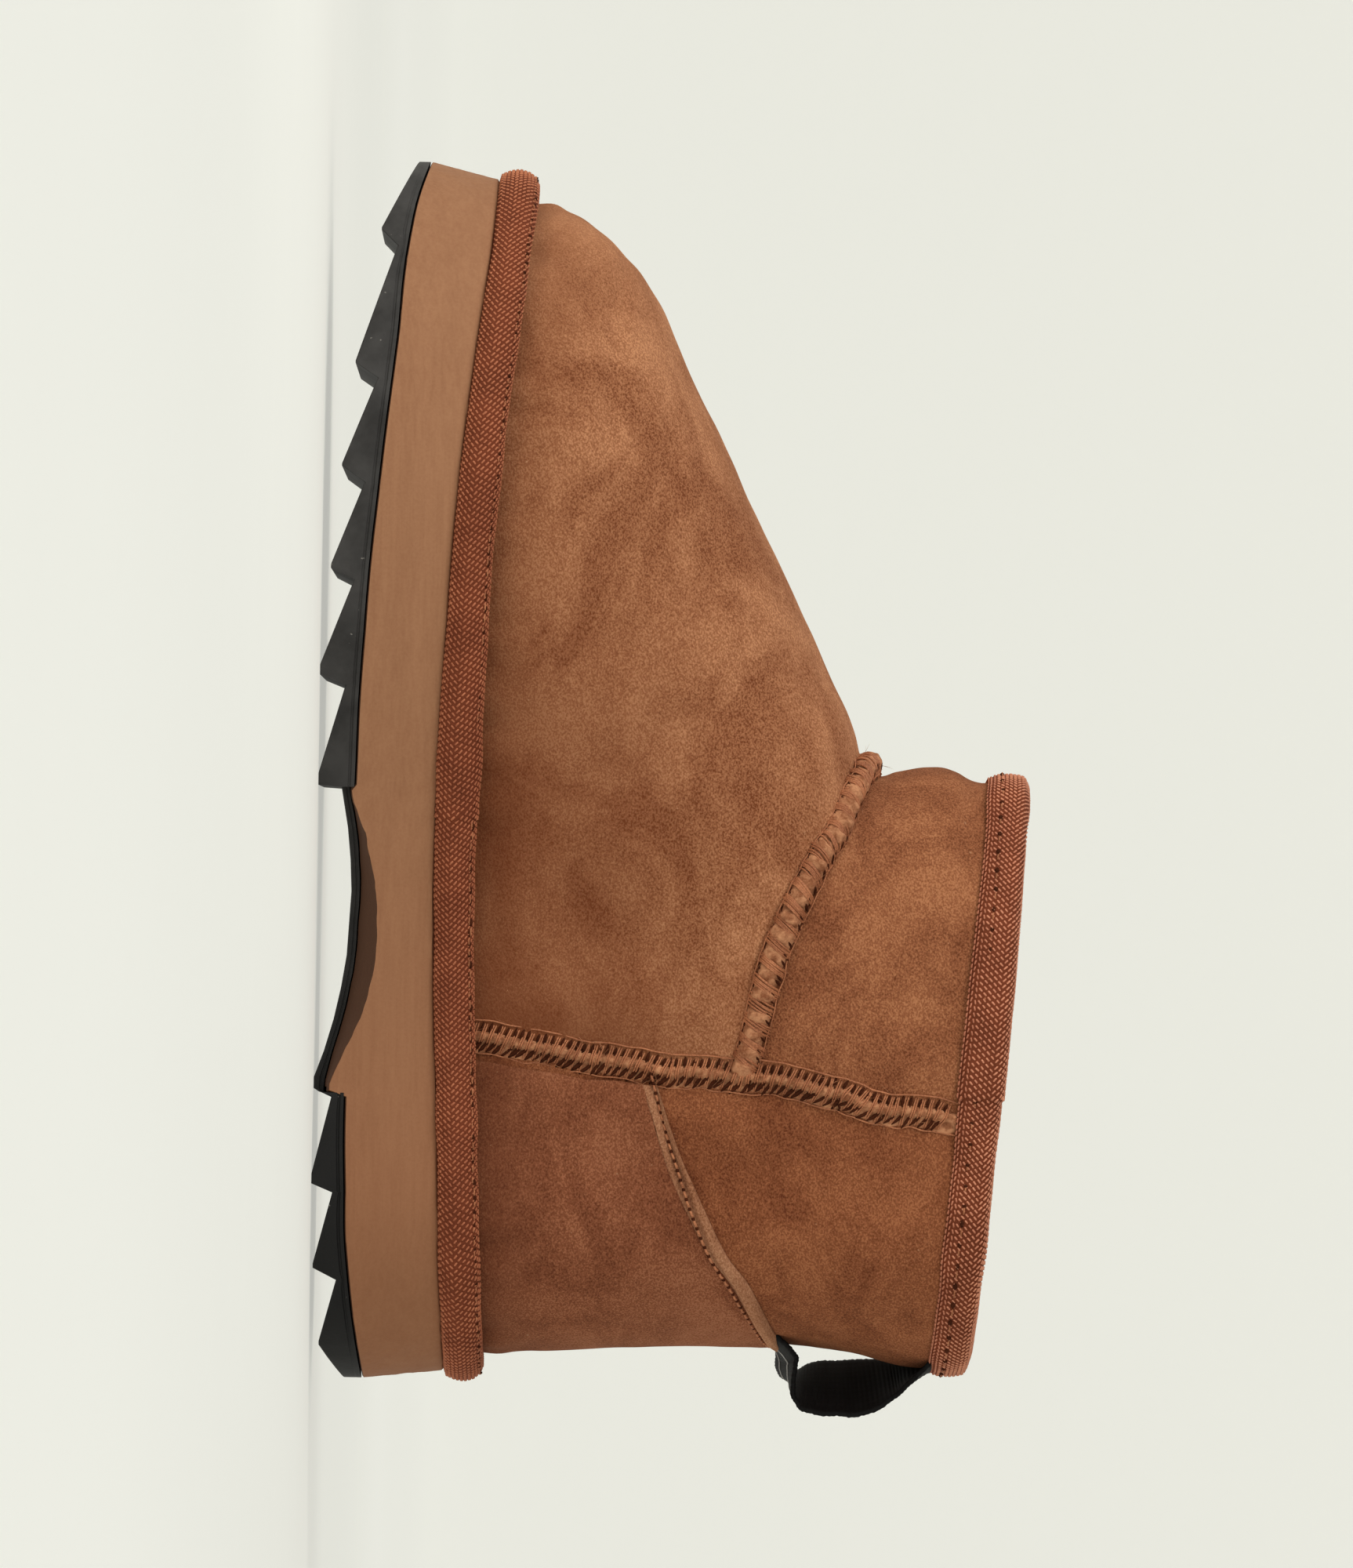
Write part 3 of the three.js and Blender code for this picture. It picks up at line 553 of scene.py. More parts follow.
def foam():
    f = Finish("foam", Roughness=0.82, Specular_IOR_Level=0.22)
    streaks = f.noise(1.0, 3.0, 0.6, stretch=((1, 0.02, 1), (0, 0, 0)))
    wide = f.noise(5, 2.0, 0.5, stretch=((1, 0.05, 1), (0, 0, 0)))
    cells = f.noise(0.6, 2.0, 0.6)
    tone = f.math("ADD", f.spread(streaks, 0.3, 0.7, 0.15, 0.45), f.spread(wide, 0.3, 0.7, 0.1, 0.3))
    tone = f.math("ADD", tone, f.spread(cells, 0.3, 0.7, 0.0, 0.25))
    skin = f.mix(tone, srgb(141, 96, 67), srgb(162, 116, 84))
    normal = f.add("ShaderNodeNewGeometry").outputs["Normal"]
    down = f.add("ShaderNodeSeparateXYZ", Vector=normal).outputs["Z"]
    # Painted shade: the foam is darker towards the heel.
    skin = f.mix(f.spread(f.axis("Y"), -0.03, 0.12, 0.0, 0.4), skin, srgb(128, 78, 50))
    # Painted shade: faces that look down, such as the arch scoop, are mixed towards dark brown.
    f.colour(f.mix(f.spread(down, -0.8, -0.3, 0.85, 0.0), skin, srgb(58, 34, 22)))
    under = f.bump(streaks, 0.1, 0.6)
    f.bump(cells, 0.05, 0.6, under=under)
    return f.material


def rubber():
    f = Finish("rubber", Roughness=0.66, Specular_IOR_Level=0.22)
    cloud = f.noise(14, 4.0, 0.6)
    pores = f.noise(0.8, 3.0, 0.6)
    base = f.mix(f.spread(cloud, 0.3, 0.7), srgb(43, 41, 40), srgb(66, 64, 63))
    # Painted shade: the rubber is much darker towards the heel.
    base = f.mix(f.spread(f.axis("Y"), -0.06, 0.1, 0.0, 0.92), base, srgb(12, 11, 11))
    dust = f.spread(f.noise(1.5, 1.0), 0.76, 0.8, 0.0, 0.5)
    f.colour(f.mix(dust, base, srgb(150, 145, 138)))
    f.bump(pores, 0.08, 0.6)
    return f.material


FLEECE, FOAM, RUBBER = fleece(), foam(), rubber()
WEBBING = fibre("webbing", srgb(5, 4, 4), srgb(15, 14, 14), 0.15, 0.7)
PALE_STRIPE = fibre("pale_stripe", srgb(120, 118, 116), srgb(178, 176, 172), 0.3, 0.6)
print("materials so far:", len(bpy.data.materials))

# %% [markdown]
# ## Seams on the last
# Three pieces of suede make the upper: the vamp over the foot, the front of the shaft, and one
# piece round the back. They meet at a seam up each side and one over the instep. All that lies on
# a seam, such as its ridge and threads, needs the same three directions: along it, out of the
# leather, and across it, where "across" points to the vamp or the toe.

# %% Seam lines
def turns(line, side):
    """Ring places of a line on one side, counted from the heel."""
    return line[:, 1] if side > 0 else 2 - line[:, 1]


def by_side(side, function, value):
    """The function for the inner side where side is above 0, and for the outer side elsewhere."""
    return np.where(side > 0, function(value, 1), function(value, -1))


def turn_of_side_seam(level, side):
    line = side_seam[side]
    return np.interp(level, line[:, 0], turns(line, side))


def level_of_instep_seam(share):
    """Level of the instep seam; share runs from the inner side seam (0) to the outer (1)."""
    return through(INSTEP_SHARES, INSTEP_LEVELS, np.asarray(share))


def front_ring(level, share):
    """Ring place, ahead of the side seams, of a share of the way from inner to outer seam."""
    start, end = turn_of_side_seam(level, 1), 2 - turn_of_side_seam(level, -1)
    return start + (end - start) * share


half_share = {}
for side, line in instep_seam.items():
    seam_turn = turn_of_side_seam(line[:, 0], side)
    half_share[side] = 0.5 * (turns(line, side) - seam_turn) / (1 - seam_turn)
BESIDE_FRONT = FRONT_LEVEL - 0.25  # level of the seam a little to each side of the front
INSTEP_SHARES = np.r_[half_share[1], 0.44, 0.5, 0.56, 1 - half_share[-1][::-1]]
INSTEP_LEVELS = np.r_[instep_seam[1][:, 0], BESIDE_FRONT, FRONT_LEVEL, BESIDE_FRONT,
                      instep_seam[-1][::-1, 0]]


class Seam:
    """A line on the last, measured along its length, with a frame at every point of it."""

    def __init__(self, level, ring, across_sign=1.0):
        self.level, self.ring = level, ring
        self.line = last(level, ring)
        self.run = run_along(self.line)
        self.length = self.run[-1]
        self.out = last_normal(level, ring)
        self.forward = unit(np.gradient(self.line, self.run, axis=0))
        self.across = unit(np.cross(self.forward, self.out)) * across_sign

    def at(self, run, across=0.0, out=0.0):
        """Points a way along the seam, across it and out of it; all arrays of one shape."""
        run, across, out = np.broadcast_arrays(np.asarray(run, float), across, out)
        point = self.read(self.line, run)
        return (point + self.read(self.across, run) * across[..., None]
                + self.read(self.out, run) * out[..., None])

    def read(self, values, run):
        return np.stack([np.interp(run, self.run, values[:, k]) for k in range(3)], -1)

    def outward(self, run):
        return self.read(self.out, run)


SEAM_START, SEAM_END = 0.6, RIM - 0.84  # levels hidden by the bead and by the collar tape
level = np.linspace(SEAM_START, SEAM_END, 240)
SIDE = {s: Seam(level, s * turn_of_side_seam(level, s) % 2, s) for s in (1, -1)}
share = np.linspace(0.0, 1.0, 360)
level = level_of_instep_seam(share)
INSTEP = Seam(level, front_ring(level, share))
print("side seam", round(SIDE[1].length), "mm, instep seam", round(INSTEP.length), "mm")

# %% [markdown]
# ## Creases, one by one
# An empty boot keeps the marks of lasting and of being handled: soft hollows beside the seams
# where the thread pulls, a fuller roll next to them, light puckers above the welt, and a few broad
# dents. Each dent is a row of a table in the boot's own sizes. They are shallow on purpose:
# sheepskin is thick, and its wool pushes dents out again.

# %% Relief of the suede
CREASES = np.array([
    # side, along, height, lean in degrees, reach, width, rise (below 0 it is a trough)
    [1, 118, 88, 38, 30, 7, -1.1],
    [1, 112, 80, 38, 26, 7, 0.6],
    [1, 146, 84, 62, 26, 8, -0.7],
    [1, 172, 62, 20, 34, 9, -0.8],
    [1, 205, 66, 70, 24, 11, 0.7],
    [1, 98, 58, 80, 22, 10, -0.7],
    [1, 236, 58, 60, 20, 9, -0.6],
    [1, 100, 128, 12, 24, 9, -0.8],
    [1, 36, 62, 75, 26, 12, -0.8],
    [1, 48, 108, 20, 26, 9, -0.9],
    [1, 30, 126, 60, 18, 9, 0.6],
    [-1, 124, 92, 40, 28, 8, -1.0],
    [-1, 160, 72, 30, 30, 9, -0.8],
    [-1, 210, 62, 65, 24, 10, 0.6],
    [-1, 44, 104, 25, 26, 9, -0.8],
    [-1, 40, 58, 80, 24, 12, -0.7],
    [-1, 98, 126, 10, 22, 9, -0.7],
])


def nearest(points, line):
    """Distance of each point from a line given by close points."""
    flat = points.reshape(-1, 3)
    found = [np.sqrt(((chunk[:, None] - line[None, ::2]) ** 2).sum(-1).min(1))
             for chunk in np.array_split(flat, max(1, len(flat) // 2000))]
    return np.concatenate(found).reshape(points.shape[:-1])


SEAM_TROUGH = -0.6  # depth to which the thread pulls the suede at the side seams
SEAM_RING = 0.36  # mean ring place of the inner side seam


def relief(level, ring, points):
    """How far the suede stands off the last, in mm."""
    rise = 0.3 * ripple(points, 70, 1) + 0.16 * ripple(points, 27, 2) + 0.05 * ripple(points, 10, 3)
    for side, along, height, lean, reach, width, swell in CREASES:
        angle = math.radians(lean)
        a, z = points[..., 1] - along, points[..., 2] - height
        bow = 0.000625 * (a * a + z * z)
        u = a * math.cos(angle) + z * math.sin(angle)
        v = -a * math.sin(angle) + z * math.cos(angle) + bow
        on_side = step_up(points[..., 0] * side, 2, 14)
        rise += swell * np.exp(-((u / reach) ** 2) - (v / width) ** 2) * on_side
    from_side = np.minimum(nearest(points, SIDE[1].line), nearest(points, SIDE[-1].line))
    rise += 0.5 * bump_at(from_side, 12, 6)
    from_instep = nearest(points, INSTEP.line)
    share = np.clip((ring % 2 - SEAM_RING) / (2 - 2 * SEAM_RING), 0, 1)
    above = level > level_of_instep_seam(share)
    rise += np.where(above, -1.7, -0.7) * bump_at(from_instep, 0, 5)
    rise += np.where(above, 0.3, 0.6) * bump_at(from_instep, 12, 6)
    over_welt = points[..., 2] - foam_top(points[..., 1]) - 9
    beat = ripple(points * [1, 1, 0.15], 9.5, 5)
    rise += 0.3 * beat * bump_at(over_welt, 0, 7) - 0.7 * bump_at(over_welt, -1, 3.5)
    rise += 0.45 * bump_at(over_welt, 12, 8)
    at_seam = bump_at(from_side, 0, 4.5)
    rise += (SEAM_TROUGH - rise) * at_seam
    return rise * step_up(RIM - level, 0.3, 1.6)


# %% [markdown]
# ## The three suede panels
# Each panel is a grid whose edges lie exactly on the seams, so no edge is cut in steps. A grid row
# keeps one share of the height between its lower and upper edge, a column one share of the way
# between the side seams. A second grid 1.4 mm further in and a strip round the edge close it.

# %% Suede panels
LEATHER = 1.4


def shell(outer, inner):
    """A sheet with thickness: two grids of points, joined round their edges."""
    rows, columns = outer.shape[:2]
    count = rows * columns
    top = np.arange(columns)
    right = np.arange(rows) * columns + columns - 1
    edge = np.r_[top, right[1:], (top + count - columns)[::-1][1:], (right - columns + 1)[::-1][1:-1]]
    after = np.roll(edge, -1)
    front = grid_faces(rows, columns)
    rim = np.stack([edge, after, after + count, edge + count], -1)
    points = np.concatenate([outer.reshape(-1, 3), inner.reshape(-1, 3)])
    return points, np.concatenate([front, front[:, ::-1] + count, rim])


def suede_panel(name, level, ring, finish, replaces=()):
    """A panel over a grid of levels and rings."""
    rise = relief(level, ring, last(level, ring))
    outer = off_last(level, ring, rise)
    inner = off_last(level, ring, rise - LEATHER)
    points, faces = shell(outer, inner)
    return add_piece(name, points, faces, finish, replaces)


share, part = np.meshgrid(np.linspace(0, 1, 220), np.linspace(0, 1, 100))
seam_level = level_of_instep_seam(share)
level = 0.3 + (seam_level - 0.3) * part
suede_panel("suede_vamp", level, front_ring(level, share), TAN_SUEDE, replaces=["upper"])

share, part = np.meshgrid(np.linspace(0, 1, 220), np.linspace(0, 1, 46))
seam_level = level_of_instep_seam(share)
level = seam_level + (RIM - seam_level) * part
suede_panel("suede_shaft_front", level, front_ring(level, share), SHAFT_SUEDE_SHADED)

share, level = np.meshgrid(np.linspace(-1, 1, 140), np.linspace(0.3, RIM, 90))
turn = by_side(share, turn_of_side_seam, level)
suede_panel("suede_back", level, share * turn, BACK_SUEDE_SHADED)

# %% [markdown]
# ## Heel counter
# A second layer of suede stiffens the heel. It ends in the side seams, and its upper edge dips
# from behind down to them. The edge is turned under, so it is a slightly thicker band about 3 mm
# wide, painted paler as a highlight, and a row of stitches holds the band down along its lower side.

# %% Heel counter
COUNTER_BAND = 2.6
LEVEL_HEIGHT = 6.7  # mean height of one level over the heel, in mm
COUNTER_REACH = 0.345  # how far round the counter goes at its upper edge
SEAM_CLEAR = 0.012  # part of the ring kept free beside the side seam
counter_line = {s: on_last(COUNTER_EDGE[:, 0], COUNTER_EDGE[:, 1], s) for s in (1, -1)}


def level_of_counter(turn, side):
    line = counter_line[side]
    return through(np.r_[0.0, turns(line, side)[1:]], line[:, 0], turn)


def counter_rise(level, turn, side):
    """Height of the counter's face over the last, and its distance below the upper edge."""
    top = by_side(side, level_of_counter, turn)
    below = (top - level) * LEVEL_HEIGHT
    band = 0.75 * step_up(COUNTER_BAND - below, -0.3, 0.8) * (0.6 + 0.4 * bump_at(below, 1.9, 1.6))
    groove = -0.5 * bump_at(below, COUNTER_BAND + 0.5, 0.7)
    return 1.25 + band + groove, below


def counter_sheet(name, lowest, highest, rows, finish, replaces=()):
    """Part of the counter between two levels, each a function of the level of its upper edge."""
    share, part = np.meshgrid(np.linspace(-1, 1, 150), np.linspace(0, 1, rows))
    side = np.where(share > 0, 1, -1)
    turn = np.abs(share) * COUNTER_REACH
    top = by_side(side, level_of_counter, turn)
    level = lowest(top) + (highest(top) - lowest(top)) * part
    reach = by_side(side, turn_of_side_seam, level)
    turn = np.abs(share) * (reach - SEAM_CLEAR)
    under = relief(level, side * turn, last(level, side * turn))
    rise, below = counter_rise(level, turn, side)
    rise *= step_up(below, -0.6, 0.5) * 0.75 + 0.25
    points, faces = shell(off_last(level, side * turn, under + rise),
                          off_last(level, side * turn, under + 0.1))
    add_piece(name, points, faces, finish, replaces)


FOLD_LEVELS = (COUNTER_BAND + 0.5) / LEVEL_HEIGHT
counter_sheet("heel_counter_suede", lambda top: np.full_like(top, SEAM_START),
              lambda top: top - FOLD_LEVELS + 0.03, 56, COUNTER_SUEDE_SHADED, ["heel_counter"])
# The band along the upper edge gets the paler suede: a painted highlight.
counter_sheet("counter_fold", lambda top: top - FOLD_LEVELS, lambda top: top, 16, FOLD_SUEDE_HIGHLIGHT)

# %% [markdown]
# ## Many small tubes at once
# Threads and wool are thin tubes. One function sweeps a small round section along thousands of
# short paths at the same time and returns one set of points and faces, closed at both ends. Each
# path brings its own "up", so that no tube twists.

# %% Tubes
def tubes(paths, radius, up, sides=6, flat=1.0):
    """paths: (tubes, points, 3). radius: same without the 3. up: (tubes, 3) or as paths."""
    count, length = paths.shape[:2]
    up = np.broadcast_to(up[:, None] if up.ndim == 2 else up, paths.shape)
    forward = unit(np.gradient(paths, axis=1))
    across = unit(np.cross(forward, up))
    high = unit(np.cross(across, forward))
    angle = np.arange(sides) / sides * 2 * math.pi
    ring = across[:, :, None] * np.cos(angle)[:, None]
    ring = ring + high[:, :, None] * np.sin(angle)[:, None] * flat
    radius = np.broadcast_to(radius, paths.shape[:2])
    points = paths[:, :, None] + ring * radius[..., None, None]
    first = (np.arange(count) * length * sides)[:, None, None]
    faces = (first + grid_faces(length, sides, wrap_columns=True)[None]).reshape(-1, 4)
    near_end = np.arange(sides)
    far_end = (length - 1) * sides + near_end[::-1]
    caps = (first + np.stack([near_end, far_end])[None]).reshape(-1, sides)
    return points.reshape(-1, 3), [faces, caps]


def joined(parts):
    """One set of points and faces from several."""
    points, groups, offset = [], {}, 0
    for p, faces in parts:
        for group in (faces if isinstance(faces, list) else [faces]):
            groups.setdefault(group.shape[1], []).append(group + offset)
        points.append(p)
        offset += len(p)
    return np.concatenate(points), [np.concatenate(g) for g in groups.values()]


def add_joined(name, parts, material):
    """One piece from many small bodies."""
    points, faces = joined(parts)
    add_piece(name, points, faces, material)


def loft(rings):
    """A closed body through rings of points, each joined to the next, with ladders at the ends."""
    rows, count = rings.shape[:2]
    ladder = end_ladder(count)
    faces = grid_faces(rows, count, wrap_columns=True)
    far = ladder[:, ::-1] + (rows - 1) * count
    return rings.reshape(-1, 3), np.concatenate([faces, ladder, far])


# %% [markdown]
# ## Ridges of the seams
# The raw edges of both hides stand up together as a low ridge, and thread goes over and over it.
# Between two groups of threads the leather swells out as a pale lump. So the ridge is a lofted
# strip whose height follows a beat of lumps, with some noise so that no two are the same.

# %% Seam ridges
SHOULDER = 3.4
ACROSS_RIDGE = 21  # points over a ridge


def ridge_height(across, half, high, shoulder=0.45):
    """Section of a ridge: a crest, and a low shoulder on the side away from the vamp."""
    crest = high * np.clip(1 - np.abs(across / half) ** 2.3, 0, 1) ** 0.62
    low = shoulder * np.clip(1 - np.abs(across / SHOULDER) ** 6, 0, 1) ** 0.5
    fading = low * np.clip((half - across) / (0.5 * half), 0, 1)
    return crest + np.where(across < 0.5 * half, low, fading)


def ridge(seam, half, high, pitch, swell, seed, shoulder=0.45):
    run = np.arange(0.0, seam.length, 0.42)
    angle = np.linspace(0, math.pi, ACROSS_RIDGE)
    far = SHOULDER if shoulder else half
    across = ((half - far) / 2 - np.cos(angle) * (half + far) / 2)[None]
    beat = np.abs(np.sin(math.pi * (run / pitch + 0.12 * np.sin(run / 9)))) ** 0.8
    spot = seam.at(run)
    lump = 1 - swell + swell * beat + 0.08 * ripple(spot, 5, seed) + 0.05 * ripple(spot, 2.2, seed + 1)
    lump *= 1 - 0.7 * step_up(run, seam.length - 4, seam.length) * (shoulder > 0)
    width = 1 + 0.1 * (beat - 0.5) + 0.05 * ripple(spot, 6, seed + 2)
    crest = ridge_height(across, half, high, shoulder) * lump[:, None] - 0.25
    face = seam.at(run[:, None], across * width[:, None], crest)
    fine = 0.09 * ripple(face, 1.7, seed + 3)[..., None]
    face = face + seam.outward(run)[:, None] * fine
    foot = seam.at(run[:, None], across[:, ::-1][:, 1:-1] * 0.9, -1.9)
    return loft(np.concatenate([face, foot], 1))


SIDE_HALF, SIDE_HIGH, SIDE_PITCH = 1.15, 1.5, 1.75
INSTEP_HALF, INSTEP_HIGH, INSTEP_PITCH = 2.5, 2.7, 4.3
parts = [ridge(SIDE[s], SIDE_HALF, SIDE_HIGH, 2 * SIDE_PITCH, 0.28, 20 + s) for s in (1, -1)]
parts.append(ridge(INSTEP, INSTEP_HALF, INSTEP_HIGH, INSTEP_PITCH, 0.42, 30, 0.0))
add_joined("seam_ridges", parts, RAW_EDGE)

# %% [markdown]
# ## Whip stitches
# On the side seam the thread goes over the ridge at an even pitch, straight down on the vamp's
# side and slanted on the other. Between the threads, dark slivers paint the shade in the needle
# gaps. On the instep seam the threads lie in groups of seven between the lumps. A thin lock thread
# runs along both feet of each ridge.

# %% Whip stitches and needle gaps
def over_ridge(seam, run, slant, half, high, foot, seed, shoulder=0.45, points=11, lift=0.1):
    """Thread paths over a ridge, from the vamp's side to the other; foot: reach beyond each side."""
    rng = np.random.default_rng(seed)
    t = np.linspace(1, -1, points)[None]
    across = np.where(t > 0, t * (half + foot[0]), t * (half + foot[1]))
    across = across * rng.uniform(0.93, 1.07, (len(run), 1))
    lean = slant * (t - 0.2) / 2 + rng.normal(0, 0.12, (len(run), 1))
    high_here = high * rng.uniform(0.92, 1.04, (len(run), 1))
    out = ridge_height(across, half + 0.2, high_here + 0.1, shoulder) + lift - 0.2
    out = np.where(np.abs(t) > 0.98, -0.7, out)
    return seam.at(run[:, None] + lean, across, out), seam.outward(run)


def needle_shadows(seam, run, near, far, slant, wide, seed, section, lift=0.0):
    """Dark lens-shaped slivers, painted shade in the needle gaps, from `near` to `far` across the seam.
    """
    rng = np.random.default_rng(seed)
    t = np.linspace(0, 1, 7)[None]
    reach = near + (far - near) * t * rng.uniform(0.8, 1.1, (len(run), 1))
    lean = slant * (t - 0.5) + rng.normal(0, 0.1, (len(run), 1))
    out = ridge_height(reach, *section) - 0.17 + lift
    paths = seam.at(run[:, None] + lean, reach, out + rng.normal(0, 0.04, (len(run), 1)))
    radius = wide * np.sin(math.pi * (0.08 + 0.84 * t)) * rng.uniform(0.7, 1.15, (len(run), 1))
    return tubes(paths, radius, seam.outward(run), 5, 0.6)


def along_seam(seam, across, out, radius, wobble, seed):
    """A thin thread that follows the seam."""
    run = np.arange(0.5, seam.length - 0.5, 0.7)
    spot = seam.at(run)
    path = seam.at(run, across + wobble * ripple(spot, 5, seed), out + 0.12 * ripple(spot, 3, seed + 1))
    return tubes(path[None], np.full((1, len(run)), radius), seam.outward(run)[None], 5)


threads, gaps = [], []
side_section, instep_section = (SIDE_HALF, SIDE_HIGH), (INSTEP_HALF, INSTEP_HIGH, 0.0)
for s, seam in SIDE.items():
    run = np.arange(1.5, seam.length - 3, SIDE_PITCH)
    run = run + np.random.default_rng(40 + s).normal(0, 0.12, len(run))
    for double in (-0.24, 0.24):
        paths, up = over_ridge(seam, run + double, 1.5, *side_section, (2.1, 2.3), 50 + s)
        threads.append(tubes(paths, 0.2, up, 6))
    between = run[:-1] + SIDE_PITCH / 2
    gaps.append(needle_shadows(seam, between + 0.5, 0.9, 3.2, 0.3, 0.42, 60 + s, side_section, 0.12))
    gaps.append(needle_shadows(seam, between - 0.4, -0.6, -3.7, -2.4, 0.52, 64 + s, side_section, 0.18))
    threads.append(along_seam(seam, 3.6, 0.05, 0.2, 0.12, 70 + s))
    threads.append(along_seam(seam, -3.7, 0.05, 0.2, 0.15, 74 + s))
THREADS_IN_GROUP = 7
groups = np.arange(1, INSTEP.length / INSTEP_PITCH)
groups = INSTEP_PITCH * (groups - 0.12 * np.sin(groups * INSTEP_PITCH / 9))
for k, shift in enumerate(np.linspace(-0.96, 0.96, THREADS_IN_GROUP)):
    run = groups + shift + np.random.default_rng(80 + k).normal(0, 0.16, len(groups))
    paths, up = over_ridge(INSTEP, run, 2.6, INSTEP_HALF, INSTEP_HIGH * 0.8, (0.6, 0.8), 84 + k, 0.0)
    threads.append(tubes(paths, 0.23, up, 6))
for shift, seed in ((1.0, 90), (2.4, 91)):
    run = groups[:-1] + shift
    gaps.append(needle_shadows(INSTEP, run, -1.7, -3.1, -1.3, 0.36, seed, instep_section, 0.14))
dashes = np.arange(1.2, INSTEP.length - 1, 2.15)
gaps.append(needle_shadows(INSTEP, dashes, 2.35, 2.8, 1.5, 0.3, 92, instep_section, 0.15))
threads.append(along_seam(INSTEP, 2.9, 0.0, 0.17, 0.12, 93))
threads.append(along_seam(INSTEP, -3.1, -0.1, 0.17, 0.15, 95))

# The counter's topstitch: short stitches in the groove, with a dark needle hole, painted shade, between
# each two.
STITCH = 2.2
for s in (1, -1):
    turn = np.linspace(0.012, 0.33, 200)
    level = level_of_counter(turn, s) - FOLD_LEVELS
    line = Seam(level, s * turn % 2, s)
    run = np.arange(0.8, line.length - 1, STITCH)
    t = np.linspace(0, 1, 6)[None]
    arch = 1.15 + 0.42 * np.sin(math.pi * t)
    spot = line.at(run[:, None] + t * 1.35, 0.12 * (t - 0.5), arch)
    threads.append(tubes(spot, 0.27, line.outward(run), 6))
    hole = line.at(run[:-1, None] + 1.3 + np.linspace(0, 0.95, 4)[None], 0.0, 1.22)
    gaps.append(tubes(hole, np.array([[0.14, 0.42, 0.42, 0.14]]), line.outward(run[:-1]), 5, 0.8))
add_joined("seam_threads", threads, THREAD)
add_joined("needle_shadows", gaps, NEEDLE_SHADE)

# %% [markdown]
# ## Woven tape
# The welt and the collar are bound with the same twill tape. A twill's pattern is made of floats:
# short stretches of yarn that lie over the others, each row shifted a little from the last. Where
# the shift changes sides, the rows make a herringbone. The tape's body is a smooth ring with the
# section of a bead or of a folded hem, and every float is a small pillow of its own on it.

# %% Tape helpers
def even_ring(level, spacing, start=0.0):
    """Ring places at an even spacing in mm from a first one, and the whole length round the boot."""
    ring = start + np.linspace(0, 2, 2001)
    run = run_along(last(level, ring))
    count = int(round(run[-1] / spacing))
    return np.interp(np.arange(count) / count * run[-1], run, ring), run[-1]


def rounded(corners, count):
    """A smooth closed section through a few corners, as `count` evenly spaced points."""
    corners = np.asarray(corners, float)
    loop = np.concatenate([corners[-2:], corners, corners[:3]])
    k = np.arange(-2, len(corners) + 3)
    at = np.linspace(0, len(corners), 400, endpoint=False)
    dense = np.stack([through(k, loop[:, j], at) for j in (0, 1)], -1)
    dense = np.r_[dense, dense[:1]]
    run = run_along(dense)
    even = np.arange(count) / count * run[-1]
    return np.stack([np.interp(even, run, dense[:, j]) for j in (0, 1)], -1)


def pillows(centre, forward, out, long, wide, high):
    """Small long pillows, flat below. centre, forward and out are (count, 3) arrays."""
    across = unit(np.cross(forward, out))
    shape = [(1, 0, -1), (0.55, 1, -1), (-0.55, 1, -1), (-1, 0, -1), (-0.55, -1, -1), (0.55, -1, -1),
             (0.5, 0, 1), (-0.5, 0, 1)]
    corner = [forward * (l * long)[:, None] + across * (w * wide)[:, None] + out * (h * high)[:, None]
              for l, w, h in shape]
    points = centre[:, None] + np.stack(corner, 1)
    first = np.arange(len(centre))[:, None, None] * len(shape)
    three = np.array([[0, 1, 6], [5, 0, 6], [2, 3, 7], [3, 4, 7]])[None] + first
    four = np.array([[1, 2, 7, 6], [4, 5, 6, 7]])[None] + first
    below = np.array([[5, 4, 3, 2, 1, 0]])[None] + first
    return points.reshape(-1, 3), [three.reshape(-1, 3), four.reshape(-1, 4), below.reshape(-1, 6)]


# %% [markdown]
# The bead's ring and the hem's ring differ only in where their section stands: the bead on the
# foam's ledge, the hem on the rim of the shaft. `bead_point` and `hem_point` each place an
# (out, up) pair of millimetres.

# %% Welt bead and collar binding
BEAD = [(0.3, 0.35), (5.0, 0.35), (6.3, 1.5), (6.9, 3.4), (6.8, 5.4), (5.9, 7.3), (4.4, 8.5),
        (2.7, 8.8), (1.2, 8.3), (0.3, 7.2)]
HEM = [(0.3, -6.7), (1.3, -6.5), (1.75, -4.4), (1.65, -0.9), (0.7, 0.8), (-2.5, 1.5), (-5.6, 0.8),
       (-6.6, -0.8), (-6.7, -4.5), (-6.4, -6.0), (-5.3, -6.2), (-4.6, -1.2), (-0.2, -1.2)]


def bead_point(ring, out, up):
    point = last(0.0, ring) + last_normal(0.0, ring) * out[..., None]
    point[..., 2] = foam_top(point[..., 1]) + up
    return point


def hem_point(ring, out, up):
    point = last(RIM, ring) + last_normal(RIM, ring) * out[..., None]
    point[..., 2] += up
    return point


def lap(run, total):
    """Extra thickness of the tape where its end lies over its start: 1 at the joint, then less."""
    ahead = run % total
    return step_up(ahead, 0, 0.5) * (1 - step_up(ahead, 12, 60))


RIB_LEAN = 0.75  # angle of the twill ribs to the tape, in radians
ROUND_TAPE = 40  # points round the section of a tape


